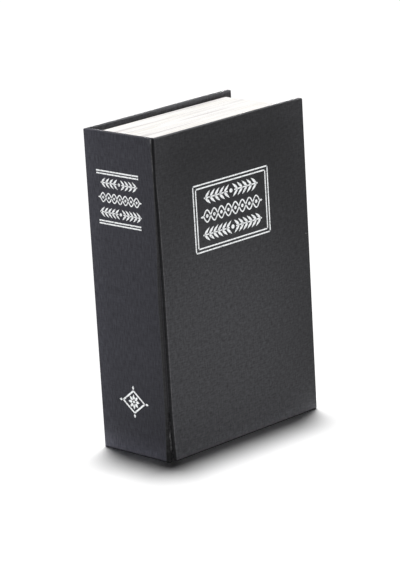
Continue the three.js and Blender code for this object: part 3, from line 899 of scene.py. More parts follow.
@dataclass
class CoverCloth(ClothShell):
    """The cloth on a cover, with rounded fore corners and a joint edge that may be skew.

    The joint edge is given as its distance from the spine's face at each height. The fore edge's shift is
    given at tail and head, and the head's shift at the joint edge and the fore edge. A reach is how far from
    an edge its shift or its shade fades out. A lift is how much paler a part of the face is drawn at most;
    the foot's lift is painted light bounced from the floor.
    """

    joint_stops: Stops = ()
    joint_reach: Pair = (4 * MM, 24 * MM)
    fore_skew: Pair = (0.0, 0.0)
    fore_reach: float = 30 * MM
    head_skew: Pair = (0.0, 0.0)
    head_reach: float = 28 * MM
    near_columns: Pair = (4 * MM, 8 * MM)
    column_step: float = 12 * MM
    worn_reach: float = 4 * MM
    corner_wear: float = 0.3
    fore_wear: float = 0.14
    # the joint edge's pale rounding is partly rubbing and partly a painted highlight
    joint_wear_and_highlight: float = 0.13
    joint_highlight_fade: Pair = (145 * MM, 165 * MM)
    joint_highlight_width: float = 2 * MM
    rim_wear: float = 0.06
    light_pool_share: float = 0.3  # painted light: the face is drawn palest round a spot this share of the way from the joint and the tail
    light_pool_reach: Pair = (20 * MM, 125 * MM)
    light_pool_tones: Pair = (0.9, 0.4)
    # painted light: the foot is drawn paler for the light that the floor bounces onto it
    floor_bounce_fade: Stops = curve((0, 2.5), (6, 1.05), (15, 0.32), (30, 0.1), (45, 0.0))
    floor_bounce_lift: Pair = (0.36, 0.6)  # at the joint and at the fore edge
    rim_lift: float = 0.15
    rim_reach: Pair = (2 * MM, 20 * MM)
    rim_heights: Pair = (105 * MM, 165 * MM)
    head_lift: float = 0.1
    head_heights: Pair = (166 * MM, 178 * MM)
    # painted light: the cloth's inside, which the lamps barely reach, is drawn paler
    inside_light_tone: float = 1.6
    inside_depth: float = 1 * MM
    # painted shade: the joint edge that faces into the groove is drawn dark for the shade there
    groove_shade_tone: float = 0.3
    groove_shade_depth: float = 0.7 * MM

    def joint_edge(self, height: float) -> float:
        """Returns the X of the joint edge at a height."""
        return corners_of("spine_cloth")[0].x + along(self.joint_stops, height)

    def widest(self) -> float:
        """Returns the X of the joint edge where the cover is widest."""
        return corners_of("spine_cloth")[0].x + min(gap for _, gap in self.joint_stops)

    def corners(self) -> Corners:
        """Returns the cloth's corners, out to its joint edge where it is widest."""
        low, high = corners_of(self.node)
        return Vector((self.widest(), low.y, low.z)), high

    def columns(self) -> list[float]:
        """Returns the X of each cut along the height: close at the joint edge, then wider apart.

        Returns:
            The places, from the joint edge on.
        """
        low, high = self.corners()
        near = [low.x + step for step in self.near_columns]
        return near + divided(low.x, high.x, int((high.x - low.x) / self.column_step))

    def is_corner(self, edge: bmesh.types.BMEdge) -> bool:
        """Says whether an edge is one of the two fore corners.

        Args:
            edge: An edge of the plain box.

        Returns:
            Whether it is.
        """
        first, second = (v.co for v in edge.verts)
        fore = self.corners()[1].x - self.tiny
        return first.x > fore and second.x > fore and abs(first.y - second.y) > 1 * MM

    def settle(self, point: Vector) -> Vector:
        """Moves a point near an edge onto the true edge: the joint edge, the fore edge and the head.

        Args:
            point: A point of the square shell.

        Returns:
            Where it belongs.
        """
        low, high = self.corners()
        near, far = self.joint_reach
        joint = (self.joint_edge(point.z) - low.x) * (1 - smooth(low.x + near, low.x + far, point.x))
        fore = lerp(*self.fore_skew, point.z / high.z) * smooth(high.x - self.fore_reach, high.x, point.x)
        head = lerp(*self.head_skew, smooth(low.x, high.x, point.x))
        head *= smooth(high.z - self.head_reach, high.z, point.z)
        return point + Vector((joint + fore, 0, head))

    def rubbed_and_highlit(self, vertex: Vertex) -> float:
        """Returns how much of the rubbed colour a vertex takes: a little along the rounded edges, more at the
        fore corners, and along the joint edge partly rubbing and partly a painted highlight.

        Args:
            vertex: A vertex of the cloth.

        Returns:
            0 where it takes none of the rubbed colour, up to 1.
        """
        low, high = self.corners()
        place = vertex.co
        if not is_rounding(vertex) or place.z < low.z + 1 * MM:
            return 0.0
        if place.x > high.x - self.worn_reach:
            near_end = min(place.z - low.z, high.z - place.z) < self.worn_reach
            return self.corner_wear if near_end else self.fore_wear
        # painted highlight: the joint edge's rounding, partly rubbed, is drawn paler for the light it catches
        if place.x < self.joint_edge(place.z) + self.joint_highlight_width:
            return self.joint_wear_and_highlight * (1 - smooth(*self.joint_highlight_fade, place.z))
        return self.rim_wear

    def painted_face_tone(self, place: Vector) -> float:
        """Returns how pale a place is drawn: painted light, palest in a pool low and near the joint, painted
        floor bounce at the foot, paler at the rims and head, and a painted contact shadow on the tail edge.

        Args:
            place: The place.

        Returns:
            The tone, where 1 is as woven.
        """
        low, high = self.corners()
        pool_middle = low.lerp(high, self.light_pool_share)
        pool_middle.y = place.y
        tone = lerp(*self.light_pool_tones, smooth(*self.light_pool_reach, (place - pool_middle).length))
        tone += along(self.floor_bounce_fade, place.z) * lerp(*self.floor_bounce_lift, smooth(low.x, high.x, place.x))
        rim = 1 - smooth(*self.rim_reach, min(place.x - low.x, high.x - place.x))
        tone += self.rim_lift * rim * smooth(*self.rim_heights, place.z)
        tone += self.head_lift * smooth(*self.head_heights, place.z)
        return tone * contact_shadowed(place.z)

    def tone(self, vertex: Vertex) -> float:
        """Returns how pale a vertex is drawn: painted light on the face, the inside paler as painted light,
        and the joint edge dark as painted shade in the groove.

        Args:
            vertex: A vertex of the cloth.

        Returns:
            The tone, where 1 is as woven.
        """
        low, high = self.corners()
        depth = abs(vertex.co.y - (low.y if self.inward.y > 0 else high.y))
        if vertex.co.x > self.joint_edge(vertex.co.z) + self.edge_radius:
            return lerp(self.painted_face_tone(vertex.co), self.inside_light_tone, smooth(0, self.inside_depth, depth))
        return lerp(self.painted_face_tone(vertex.co), self.groove_shade_tone, smooth(0, self.groove_shade_depth, depth))


@dataclass
class SpineCloth(ClothShell):
    """The cloth on the spine board, whose front end was set a little skew.

    The front end is given as its distance behind the front cover's face at each height.
    """

    end_stops: Stops = ()
    back_end: float = 0.4 * MM
    end_reach: float = 8 * MM
    head_band: float = 2 * MM
    head_wear_and_highlight: float = 0.05
    # painted light: the foot is drawn paler for light bounced from the floor; the spine is also drawn paler
    # towards the back cover
    tones: Stops = curve((0, 2.3), (6, 1.35), (12, 0.88), (18, 0.76), (32, 0.76), (60, 0.81), (176, 0.89))
    tones_across: Stops = curve((-24, 0.82), (-14, 0.89), (0, 0.95), (14, 1.0), (22, 1.17), (26, 1.25))

    def finish(self) -> bpy.types.Material:
        """Returns the spine's cloth: a bluish copy of the cover's cloth, a painted shade, whose ribs show
        more where it was drawn over the spine.
        """
        return self.finishes.spine_cloth

    def set_back(self, side: Side, height: float) -> float:
        """Returns how far behind a cover's face the spine's flat ends at a height."""
        return along(self.end_stops, height) if side is Side.FRONT else self.back_end

    def open_up(self, piece: Workpiece) -> None:
        """Opens both ends, where the joint strips take over at the start of their rounding.

        Args:
            piece: The plain box, open on its inner side.
        """
        edge = self.corners()[1].y - self.turn_in

        def is_end(face: bmesh.types.BMFace) -> bool:
            """Says whether a face is an end or its turn-in."""
            turned = face.normal.x > SQUARE and abs(face.calc_center_median().y) > edge
            return turned or abs(face.normal.y) > SQUARE

        piece.pick(Element.FACE, is_end)
        piece.delete_faces()
        piece.cut_every(1, [place for place, _ in self.tones_across[1:-1]])

    def settle(self, point: Vector) -> Vector:
        """Moves a point near either end onto the true end.

        Args:
            point: A point of the square shell.

        Returns:
            Where it belongs.
        """
        low, high = self.corners()
        front = corners_of("front_cloth")[0].y + self.set_back(Side.FRONT, point.z)
        back = corners_of("back_cloth")[1].y - self.set_back(Side.BACK, point.z)
        to_front = 1 - smooth(low.y, low.y + self.end_reach, point.y)
        to_back = smooth(high.y - self.end_reach, high.y, point.y)
        return point + Vector((0, (front - low.y) * to_front + (back - high.y) * to_back, 0))

    def rubbed_and_highlit(self, vertex: Vertex) -> float:
        """Returns how much of the rubbed colour a vertex takes: a trace along the head, partly rubbing and
        partly a painted highlight.
        """
        near_head = vertex.co.z > self.corners()[1].z - self.head_band
        return self.head_wear_and_highlight if near_head and is_rounding(vertex) else 0.0

    def tone(self, vertex: Vertex) -> float:
        """Returns how pale a vertex is drawn, painted light included."""
        return self.tone_at(vertex.co)

    def tone_at(self, place: Vector) -> float:
        """Returns how pale a place is drawn: paler at the foot as painted floor bounce, paler towards the
        back cover, and with the painted contact shadow on the tail edge.
        """
        return along(self.tones, place.z) * along(self.tones_across, place.y) * contact_shadowed(place.z)


@dataclass
class JointStrip:
    """The cloth in a joint's groove, from the spine's rounded end over the floor to the board's edge."""

    side: Side
    node: str
    spine: SpineCloth
    cover: CoverCloth
    finishes: Finishes
    columns: int = 44
    rows: int = 300
    thickness: float = 0.3 * MM
    floor: float = 2.4 * MM
    tuck: float = 0.2 * MM
    overlap: float = 0.8 * MM
    tail_gap: float = 0.1 * MM
    head_gap: float = 0.35 * MM
    bend: Pair = (0.6 * MM, 1.5 * MM)
    roll: float = 0.6 * MM
    roll_share: float = 0.32
    roll_steps: int = 6
    descent: Stops = ((0.25, 0.3), (0.6, 0.9), (0.75, 1.0))  # shares of the way across and down to the floor
    crumple_height: float = 38 * MM
    crumple_depth: float = 0.7 * MM
    wave_depth: float = 0.05 * MM
    crack_ends: Pair = (8 * MM, 18 * MM)
    crack_fades: Pair = (3 * MM, 1 * MM)
    crack_width: float = 0.36 * MM
    crack_wander: float = 0.35 * MM
    # painted shade: the groove is drawn dark, darkest on the spine's rounded end and in the crumpled foot
    roll_shade_tone: float = 0.27
    groove_shade_tone: float = 0.66
    crumple_shade_tone: float = 0.05
    nib: float = 2.2 * MM
    # the nib and the spine's rounded end are drawn paler, partly rubbing and partly a painted highlight
    nib_wear_and_highlight: float = 0.3
    roll_wear_and_highlight: Pair = (0.03, 0.14)
    roll_highlight_heights: Pair = (140 * MM, 166 * MM)
    mottle_wear: float = 0.12

    def build(self) -> None:
        """Makes the strip."""
        piece = Workpiece.grid(f"{self.side.name.lower()}_joint_strip", self.columns, self.rows)
        piece.move_points(self.lay)
        piece.modify("SOLIDIFY", thickness=self.thickness, offset=0.0)
        piece.face_outwards()
        piece.mark("wear", self.rubbed_and_highlit)
        piece.mark("tone", self.tone)
        obj = piece.done(self.finishes.cloth, Slot.CLOTH, Body.CASE, [self.node], smooth_angle=80)
        if self.side is Side.BACK:
            return
        obj.parent = None
        first, last = (Vector((self.spine_face + place, 0, 0)) for place in self.bend)
        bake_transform(obj)

    @property
    def spine_face(self) -> float:
        """Returns the X of the spine's face."""
        return self.spine.corners()[0].x

    @property
    def cover_face(self) -> float:
        """Returns the Y of the cover's face."""
        low, high = self.cover.corners()
        return low.y if self.side is Side.FRONT else high.y

    def crumple(self, height: float) -> float:
        """Returns how crumpled the groove is at a height, from 0 to 1.

        Args:
            height: The height above the tail.

        Returns:
            0 where it is smooth, up to 1.
        """
        if self.side is Side.BACK:
            return 0.0
        return 1 - smooth(self.crumple_height * 0.5, self.crumple_height, height)

    def gap(self, height: float) -> float:
        """Returns how far the cover's edge is from the spine's face at a height."""
        return self.cover.joint_edge(height) - self.spine_face

    def line(self, height: float) -> list[Vector]:
        """Returns the strip's line at a height: X from the spine's face, Y from the cover's face inwards.

        Args:
            height: The height above the tail.

        Returns:
            The line's points, from under the spine's turn-in to under the board.
        """
        half = self.thickness / 2
        end, gap = self.spine.set_back(self.side, height), self.gap(height)
        top = end * self.roll_share + half
        sunk = Vector((half + GLUE_FILM, end + self.overlap))
        rolled = [
            Vector((self.roll - (self.roll - half) * math.cos(turn), end - (end - top) * math.sin(turn)))
            for turn in (math.radians(90 / self.roll_steps * step) for step in range(self.roll_steps + 1))
        ]
        rest = gap - self.roll
        slope = [
            Vector((self.roll + over * rest, lerp(top, self.floor, down))) for over, down in self.descent
        ]
        return [sunk, *rolled, *slope, Vector((gap + self.tuck, self.floor))]

    def lay(self, point: Vector) -> Vector:
        """Lays a point of the unit grid into the groove.

        Args:
            point: A point of the unit grid.

        Returns:
            Where it lies.
        """
        low, high = self.cover.corners()
        share, height = point.x + 0.5, lerp(low.z + self.tail_gap, high.z - self.head_gap, point.y + 0.5)
        stops = self.line(height)
        last = len(stops) - 1
        step = min(int(share * last), last - 1)
        across, depth = stops[step].lerp(stops[step + 1], share * last - step)
        inside = smooth(0.35, 0.6, share) * smooth(0.0, 0.08, 1 - share)
        creases = 0.6 * grit(share * 9, height / (1.6 * MM), 3.7)
        creases += 0.4 * grit(share * 21, height / (0.7 * MM), 8.1)
        depth -= inside * self.crumple(height) * self.crumple_depth * creases
        depth -= 0.8 * self.crumple_depth * self.crack(across, height)
        depth += self.wave_depth * inside * grit(share * 3, height / (9 * MM), 1.2)
        return Vector((self.spine_face + across, self.cover_face - self.side.value * depth, height))

    def crack(self, across: float, height: float, spread: float = 1.0) -> float:
        """Returns how close a place is to the crack in the crumpled foot, from 0 to 1.

        Args:
            across: X from the spine's face.
            height: Height of the place.
            spread: How many times the crack's width counts as close.

        Returns:
            0 away from the crack, and 1 in its middle.
        """
        if self.side is Side.BACK:
            return 0.0
        (low, high), (low_fade, high_fade) = self.crack_ends, self.crack_fades
        kept = smooth(low - low_fade, low, height) * (1 - smooth(high - high_fade, high, height))
        wander = self.crack_wander * grit(0, height / (4 * MM), 9)
        middle = self.roll + 0.3 * (self.gap(height) - self.roll) + wander
        return kept * math.exp(-(((across - middle) / (self.crack_width * spread)) ** 2))

    def rubbed_and_highlit(self, vertex: Vertex) -> float:
        """Returns how much of the rubbed colour a vertex takes: the spine's rounded end, partly rubbing and
        partly a painted highlight towards the head, and the crumpled foot's ridges.

        Args:
            vertex: A vertex of the strip.

        Returns:
            0 where it takes none of the rubbed colour, up to 1.
        """
        if self.side is Side.BACK:
            return 0.0
        place = vertex.co
        across = place.x - self.spine_face
        if across < self.roll * 0.8:
            if place.z > self.cover.corners()[1].z - self.nib:
                return self.nib_wear_and_highlight
            patchy = smooth(-0.3, 0.3, grit(*place / (3.5 * MM)))
            least, most = self.roll_wear_and_highlight
            return lerp(least, most * patchy, smooth(*self.roll_highlight_heights, place.z))
        spotty = smooth(-0.1, 0.3, grit(*place / (1.3 * MM)))
        mottle = self.mottle_wear * self.crumple(place.z) * smooth(0.1, 0.5, grit(*place / (0.8 * MM)))
        return max(self.crack(across, place.z) * lerp(0.6, 1.0, spotty), mottle)

    def tone(self, vertex: Vertex) -> float:
        """Returns how pale a vertex is drawn: as on the spine at its end, and darker in the groove as painted
        shade.

        Args:
            vertex: A vertex of the strip.

        Returns:
            The tone, where 1 is as woven.
        """
        place = vertex.co
        coarse = grit(place.x / (1.1 * MM), 0, place.z / (2.6 * MM))
        fine = grit(place.x / (0.6 * MM), 5, place.z / (1.2 * MM))
        # painted shade in the crumples of the foot
        crumple_shade = max(0.0, min(1.0, self.crumple(place.z) * (0.75 + 1.5 * coarse + 1.1 * fine)))
        across = place.x - self.spine_face
        up = self.spine.set_back(self.side, place.z) - abs(place.y - self.cover_face)
        inside = smooth(0.05 * MM, 0.6 * MM, max(across, across + up))
        deep = smooth(self.roll * 0.8, 0.6 * self.gap(place.z), across)
        groove_shade = lerp(lerp(self.roll_shade_tone, self.groove_shade_tone, deep), self.crumple_shade_tone, crumple_shade)
        # painted shade: both sides of the crack's ridge are drawn darker
        crack_side_shade = 0.85 * self.crack(across, place.z, 3.0) * (1 - self.crack(across, place.z))
        return lerp(0.9 * self.spine.tone_at(place), groove_shade * (1 - crack_side_shade), inside)


@dataclass
class BookCase:
    """The hard case: cloth, boards and endpapers."""

    finishes: Finishes
    front_joint: Stops = curve(
        (0, 4.6), (14, 3.8), (28, 3.4), (90, 3.4), (135, 3.0), (159, 2.15), (176, 2.65), unit=MM
    )
    back_joint: Stops = curve((0, 2.75), unit=MM)
    spine_end: Stops = curve(
        (0, 4.0), (14, 3.2), (30, 2.6), (90, 2.3), (125, 0.8), (159, 0.5), (176, 0.8), unit=MM
    )
    front_fore_skew: Pair = (0.45 * MM, 1.25 * MM)
    front_head_skew: Pair = (-0.6 * MM, 0.0)
    back_fore_skew: Pair = (0.2 * MM, 0.8 * MM)
    back_head_skew: Pair = (0.0, 0.65 * MM)
    back_corner_radius: float = 0.7 * MM
    back_rim_wear: float = 0.02
    board_rounding: float = 0.15 * MM
    skew_cuts: tuple[float, ...] = (4 * MM, 8 * MM, 12 * MM, 16 * MM, 20 * MM, 24 * MM)
    skew_rows: int = 30
    cover_turn_in: float = 14 * MM
    spine_turn_in: float = 5 * MM
    front: CoverCloth = field(init=False)

    def build(self) -> None:
        """Makes the case."""
        self.front = CoverCloth(
            "front_cover_cloth",
            "front_cloth",
            Body.COVER,
            Vector((0, 1, 0)),
            self.cover_turn_in,
            self.finishes,
            joint_stops=self.front_joint,
            fore_skew=self.front_fore_skew,
            head_skew=self.front_head_skew,
        )
        back = CoverCloth(
            "back_cover_cloth",
            "back_cloth",
            Body.CASE,
            Vector((0, -1, 0)),
            self.cover_turn_in,
            self.finishes,
            joint_stops=self.back_joint,
            fore_skew=self.back_fore_skew,
            head_skew=self.back_head_skew,
            corner_radius=self.back_corner_radius,
            rim_wear=self.back_rim_wear,
            rim_lift=0.0,
            head_lift=0.0,
        )
        spine = SpineCloth(
            "spine_face_cloth",
            "spine_cloth",
            Body.CASE,
            Vector((1, 0, 0)),
            self.spine_turn_in,
            self.finishes,
            end_stops=self.spine_end,
        )
        for cloth in (self.front, back, spine):
            cloth.build()
        for side, cover in ((Side.FRONT, self.front), (Side.BACK, back)):
            JointStrip(side, f"{side.name.lower()}_joint_cloth", spine, cover, self.finishes).build()
        self.boards()
        self.endpapers()

    def skew(self, piece: Workpiece, start: float, low: Vector, high: Vector) -> None:
        """Sets a sheet of the front cover skew, as its cloth is.

        Args:
            piece: The sheet.
            start: The X of its joint edge.
            low: Its lowest corner.
            high: Its highest corner.
        """
        piece.cut_every(0, [start + step for step in self.skew_cuts])
        piece.cut_every(2, divided(low.z, high.z, self.skew_rows))
        piece.move_points(self.front.settle)

    def boards(self) -> None:
        """Makes the front board skew as its cloth is, and dresses the other two."""
        low, high = corners_of("front_board")
        inside = self.front.widest() + CLOTH_THICKNESS + GLUE_FILM
        piece = Workpiece.box("front_cover_board", Vector((inside, low.y, low.z)), high)
        piece.pick(Element.EDGE, lambda e: True)
        piece.bevel(self.board_rounding, 2)
        self.skew(piece, inside, low, high)
        piece.done(self.finishes.board, Slot.BOARD, Body.COVER, ["front_board"])
        for node in ("back_board", "spine_board"):
            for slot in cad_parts[node].material_slots:
                slot.material = self.finishes.board

    def endpapers(self) -> None:
        """Makes the endpapers, with the step over the turn-ins that the cut corners show through."""
        for name, body in (("front", Body.COVER), ("back", Body.CASE)):
            node = f"{name}_endpaper"
            piece = Workpiece.copy_of(node, f"{node}_sheet")
            if body is Body.COVER:
                low, high = corners_of(node)
                self.skew(piece, low.x, low, high)
            piece.face_outwards()
            piece.done(self.finishes.endpaper, Slot.ENDPAPER, body, [node])


@dataclass
class PageBlock:
    """The glued pages, cut out as a ring: gatherings that were trimmed together, each a hair proud or shy."""

    finishes: Finishes
    gatherings: int = 27
    unevenness: float = 0.07 * MM
    rounding: float = 0.12 * MM
    wall_sides: float = 5.0 * MM
    wall_ends: float = 7.0 * MM
    head_skew: Pair = (0.1 * MM, 0.65 * MM)
    fore_skew: Pair = (0.0, -0.8 * MM)
    skin: float = 0.5 * MM

    def build(self) -> None:
        """Makes the gatherings, one ring copied and shifted."""
        low, high = corners_of("page_block")
        pitch = (high.y - low.y) / self.gatherings
        first = self.ring(low, Vector((high.x, low.y + pitch, high.z)))
        dice = random.Random(11)
        rings = [first]
        for index in range(1, self.gatherings):
            copy = first.copy(f"gathering_{index}")
            shift = Vector((0, pitch * index, 0))
            grow = [dice.uniform(-self.unevenness, 0) for _ in range(4)]
            copy.move_points(lambda p: self.trim(p, low, high, grow) + shift)
            rings.append(copy)
        first.move_points(lambda p: self.trim(p, low, high, [0.0] * 4))
        block = joined(rings)
        block.obj.name = "page_block_gatherings"
        block.done(self.finishes.pages, Slot.PAGES, Body.CASE, ["page_block"], smooth_angle=50)

    def ring(self, low: Vector, high: Vector) -> Workpiece:
        """Makes one gathering as a flat ring with softened edges.

        Args:
            low: Its lowest corner.
            high: Its highest corner.

        Returns:
            The ring.
        """
        middle = (low + high) / 2
        piece = Workpiece.box("gathering", low, high)
        piece.pick(Element.FACE, lambda f: abs(f.normal.y) > SQUARE)
        piece.inset(self.wall_sides)

        def is_window(face: bmesh.types.BMFace) -> bool:
            """Says whether a face lies in the middle of a flat side."""
            away = (face.calc_center_median() - middle).length
            return abs(face.normal.y) > SQUARE and away < self.wall_sides

        piece.pick(Element.FACE, is_window)
        bpy.ops.mesh.bridge_edge_loops()
        inside_x, inside_z = ((high[axis] - low[axis] - self.wall_sides) / 2 for axis in (0, 2))

        def to_window(point: Vector) -> Vector:
            """Moves a point of the opening to where the window's walls are.

            Args:
                point: A point of the ring.

            Returns:
                Where it belongs.
            """
            offset = point - middle
            if abs(offset.x) < inside_x and abs(offset.z) < inside_z:
                point.z -= math.copysign(self.wall_ends - self.wall_sides, offset.z)
            return point

        piece.move_points(to_window)
        piece.pick(Element.EDGE, is_right_angle)
        piece.bevel(self.rounding, 2)
        piece.face_outwards()
        return piece

    def trim(self, point: Vector, low: Vector, high: Vector, grow: list[float]) -> Vector:
        """Moves a point on a trimmed side, head and fore edge a little skew.

        Args:
            point: The point.
            low: The block's lowest corner.
            high: Its highest corner.
            grow: How far the spine side, fore edge, tail and head of this gathering stand proud.

        Returns:
            The moved point.
        """
        if point.x < low.x + self.skin:
            point.x -= grow[0]
        if point.x > high.x - self.skin:
            point.x += grow[1] + lerp(*self.fore_skew, (point.z - low.z) / (high.z - low.z))
        if point.z < low.z + self.skin:
            point.z -= grow[2]
        if point.z > high.z - self.skin:
            point.z += grow[3] + lerp(*self.head_skew, (point.x - low.x) / (high.x - low.x))
        return point


class Plane(Enum):
    """The face that a foil panel is stamped on, by the axis that it faces against."""

    COVER = 1
    SPINE = 0


@dataclass
class FoilPanel:
    """Foil on one face, laid out in a flat drawing whose X runs right and whose Y runs up."""

    name: str
    plane: Plane
    body: Body
    level: float
    finishes: Finishes
    thickness: float = 0.03 * MM
    ragged: float = 0.14
    ragged_pitch: float = 1.1 * MM
    rule_step: float = 0.8 * MM
    leaf_steps: int = 10
    dot_steps: int = 12
    lean: float = math.radians(42)
    strips: dict[int, Workpiece] = field(default_factory=dict)
    strokes: list[Workpiece] = field(default_factory=list)

    def stroke(self, path: Callable[[float], Vector], width: Callable[[float], float], steps: int) -> None:
        """Adds a strip that follows a path.

        Args:
            path: Takes a share from 0 to 1 and returns a point of the drawing.
            width: Takes the same share and returns the strip's width there.
            steps: How many faces long the strip is.
        """
        if steps not in self.strips:
            self.strips[steps] = Workpiece.grid(f"{self.name}_strip_{steps}", steps, 1)
            self.strips[steps].leave()
        piece = self.strips[steps].copy(f"{self.name}_{len(self.strokes)}")

        def lay(point: Vector) -> Vector:
            """Moves a point of the unit strip beside the path.

            Args:
                point: The point.

            Returns:
                Where it lies in the drawing.
            """
            share = point.x + 0.5
            step = 0.5 / steps
            ahead = path(min(1.0, share + step)) - path(max(0.0, share - step))
            side = Vector((-ahead.y, ahead.x, 0)).normalized()
            return path(share) + side * width(share) * point.y

        piece.move_points(lay)
        self.strokes.append(piece)

    def rule(self, start: Vector, end: Vector, width: float) -> None:
        """Adds a straight line whose edges are a little ragged.

        Args:
            start: Where it starts.
            end: Where it ends.
            width: Its width.
        """
        seed = len(self.strokes) * 7.3
        length = (end - start).length

        def uneven(share: float) -> float:
            """Returns the width at a share of the line."""
            return width * (1 + self.ragged * grit(share * length / self.ragged_pitch, seed, 0))

        self.stroke(lambda s: start.lerp(end, s), uneven, max(8, int(length / self.rule_step)))

    def frame(self, low: Vector, high: Vector, width: float) -> None:
        """Adds a rectangle of four rules.

        Args:
            low: Its lower left corner.
            high: Its upper right corner.
            width: The rules' width.
        """
        half = width / 2
        for y in (low.y + half, high.y - half):
            self.rule(Vector((low.x, y, 0)), Vector((high.x, y, 0)), width)
        for x in (low.x + half, high.x - half):
            self.rule(Vector((x, low.y, 0)), Vector((x, high.y, 0)), width)

    def leaf(self, root: Vector, angle: float, length: float, width: float) -> None:
        """Adds a pointed leaf that grows from its root at an angle.

        Args:
            root: Where it grows from.
            angle: Which way it points, in radians from X.
            length: Its length.
            width: Its greatest width.
        """
        tip = root + length * Vector((math.cos(angle), math.sin(angle), 0))

        def swell(share: float) -> float:
            """Returns the width at a share of the leaf, widest a little before its middle."""
            return width * max(0.06, math.sin(math.pi * share ** 0.8))

        self.stroke(lambda s: root.lerp(tip, s), swell, self.leaf_steps)

    def dot(self, centre: Vector, radius: float) -> None:
        """Adds a round dot.

        Args:
            centre: Its middle.
            radius: Its radius.
        """
        left, right = centre - Vector((radius, 0, 0)), centre + Vector((radius, 0, 0))

        def round_width(share: float) -> float:
            """Returns the dot's width at a share of its round."""
            return 2 * radius * max(0.02, math.sin(math.pi * share))

        self.stroke(
            lambda s: left.lerp(right, (1 - math.cos(math.pi * s)) / 2), round_width, self.dot_steps
        )

    def lozenge(self, centre: Vector, width: float, height: float, line: float) -> None:
        """Adds a lozenge outline.

        Args:
            centre: Its middle.
            width: Its width.
            height: Its height.
            line: The rules' width.
        """
        ways = ((width, 0), (0, height), (-width, 0), (0, -height))
        tips = [centre + Vector((x / 2, y / 2, 0)) for x, y in ways]
        for index, tip in enumerate(tips):
            self.rule(tip, tips[(index + 1) % 4], line)

    def laurel(self, centre: Vector, length: float, height: float, pairs: int, line: float) -> None:
        """Adds two laurel sprays that meet at a dot in the middle.

        Args:
            centre: Middle of the row.
            length: Its length.
            height: Its height.
            pairs: How many pairs of leaves each spray has.
            line: The stems' width.
        """
        gap = height * 0.35
        pitch = (length / 2 - gap) / pairs
        leaf = height / 2 / math.sin(self.lean)
        self.dot(centre, height * 0.16)
        for way in (-1, 1):
            outer = centre + Vector((way * length / 2, 0, 0))
            inner = centre + Vector((way * gap, 0, 0))
            self.rule(outer, inner, line)
            for index in range(pairs):
                root = outer - Vector((way * (index * pitch + 0.15 * leaf), 0, 0))
                for up in (-1, 1):
                    angle = up * (math.pi - self.lean if way > 0 else self.lean)
                    self.leaf(root, angle, leaf, leaf * 0.27)

    def guilloche(self, centre: Vector, length: float, height: float, eyes: int, line: float) -> None:
        """Adds two strands that cross over and over, with a dot in each eye between them.

        Args:
            centre: Middle of the row.
            length: Its length.
            height: Its height.
            eyes: How many eyes it has.
            line: The strands' width.
        """
        swing = (height - line) / 2

        def strand(sign: int) -> Callable[[float], Vector]:
            """Returns the path of the strand that starts upwards or downwards.

            Args:
                sign: 1 for upwards, -1 for downwards.

            Returns:
                The path, from a share of the row to a point.
            """
            return lambda share: centre + Vector(
                ((share - 0.5) * length, sign * swing * math.sin(math.pi * eyes * share), 0)
            )

        for sign in (1, -1):
            self.stroke(strand(sign), lambda s: line, eyes * 12)
        for index in range(eyes):
            offset = ((index + 0.5) / eyes - 0.5) * length
            self.dot(centre + Vector((offset, 0, 0)), height * 0.13)
        for end in (-1, 1):
            tip = centre + Vector((end * length / 2, 0, 0))
            self.leaf(tip, 0 if end > 0 else math.pi, height * 0.3, height * 0.16)

    def rosette(self, centre: Vector, size: float, petals: int) -> None:
        """Adds a flower of pointed petals round a dot.

        Args:
            centre: Its middle.
            size: How wide it is.
            petals: How many petals it has.
        """
        self.dot(centre, size * 0.09)
        for index in range(petals):
            angle = 2 * math.pi * index / petals
            root = centre + size * 0.15 * Vector((math.cos(angle), math.sin(angle), 0))
            self.leaf(root, angle, size * 0.35, size * 0.2)

    def place(self, point: Vector) -> Vector:
        """Returns where a point of the drawing lies on the face.

        Args:
            point: The point.

        Returns:
            Its place on the face.
        """
        if self.plane is Plane.COVER:
            return Vector((point.x, self.level, point.y))
        return Vector((self.level, -point.x, point.y))

    def finish(self) -> None:
        """Joins the strokes, lays them on the face and gives them their thickness."""
        piece = joined(self.strokes)
        piece.obj.name = self.name
        for strip in self.strips.values():
            bpy.data.objects.remove(strip.obj)
        piece.move_points(self.place)
        piece.pick_all()
        bpy.ops.mesh.remove_doubles(threshold=0.001 * MM)
        if piece.pick(Element.FACE, lambda f: f.normal[self.plane.value] > 0):
            bpy.ops.mesh.flip_normals()
        piece.modify("SOLIDIFY", thickness=self.thickness, offset=1.0)
        piece.leave()
        piece.paint(self.finishes.foil)
        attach(piece.obj, self.body.value)
        log.info("%s: %d strokes, on %s", self.name, len(self.strokes), self.body.value)


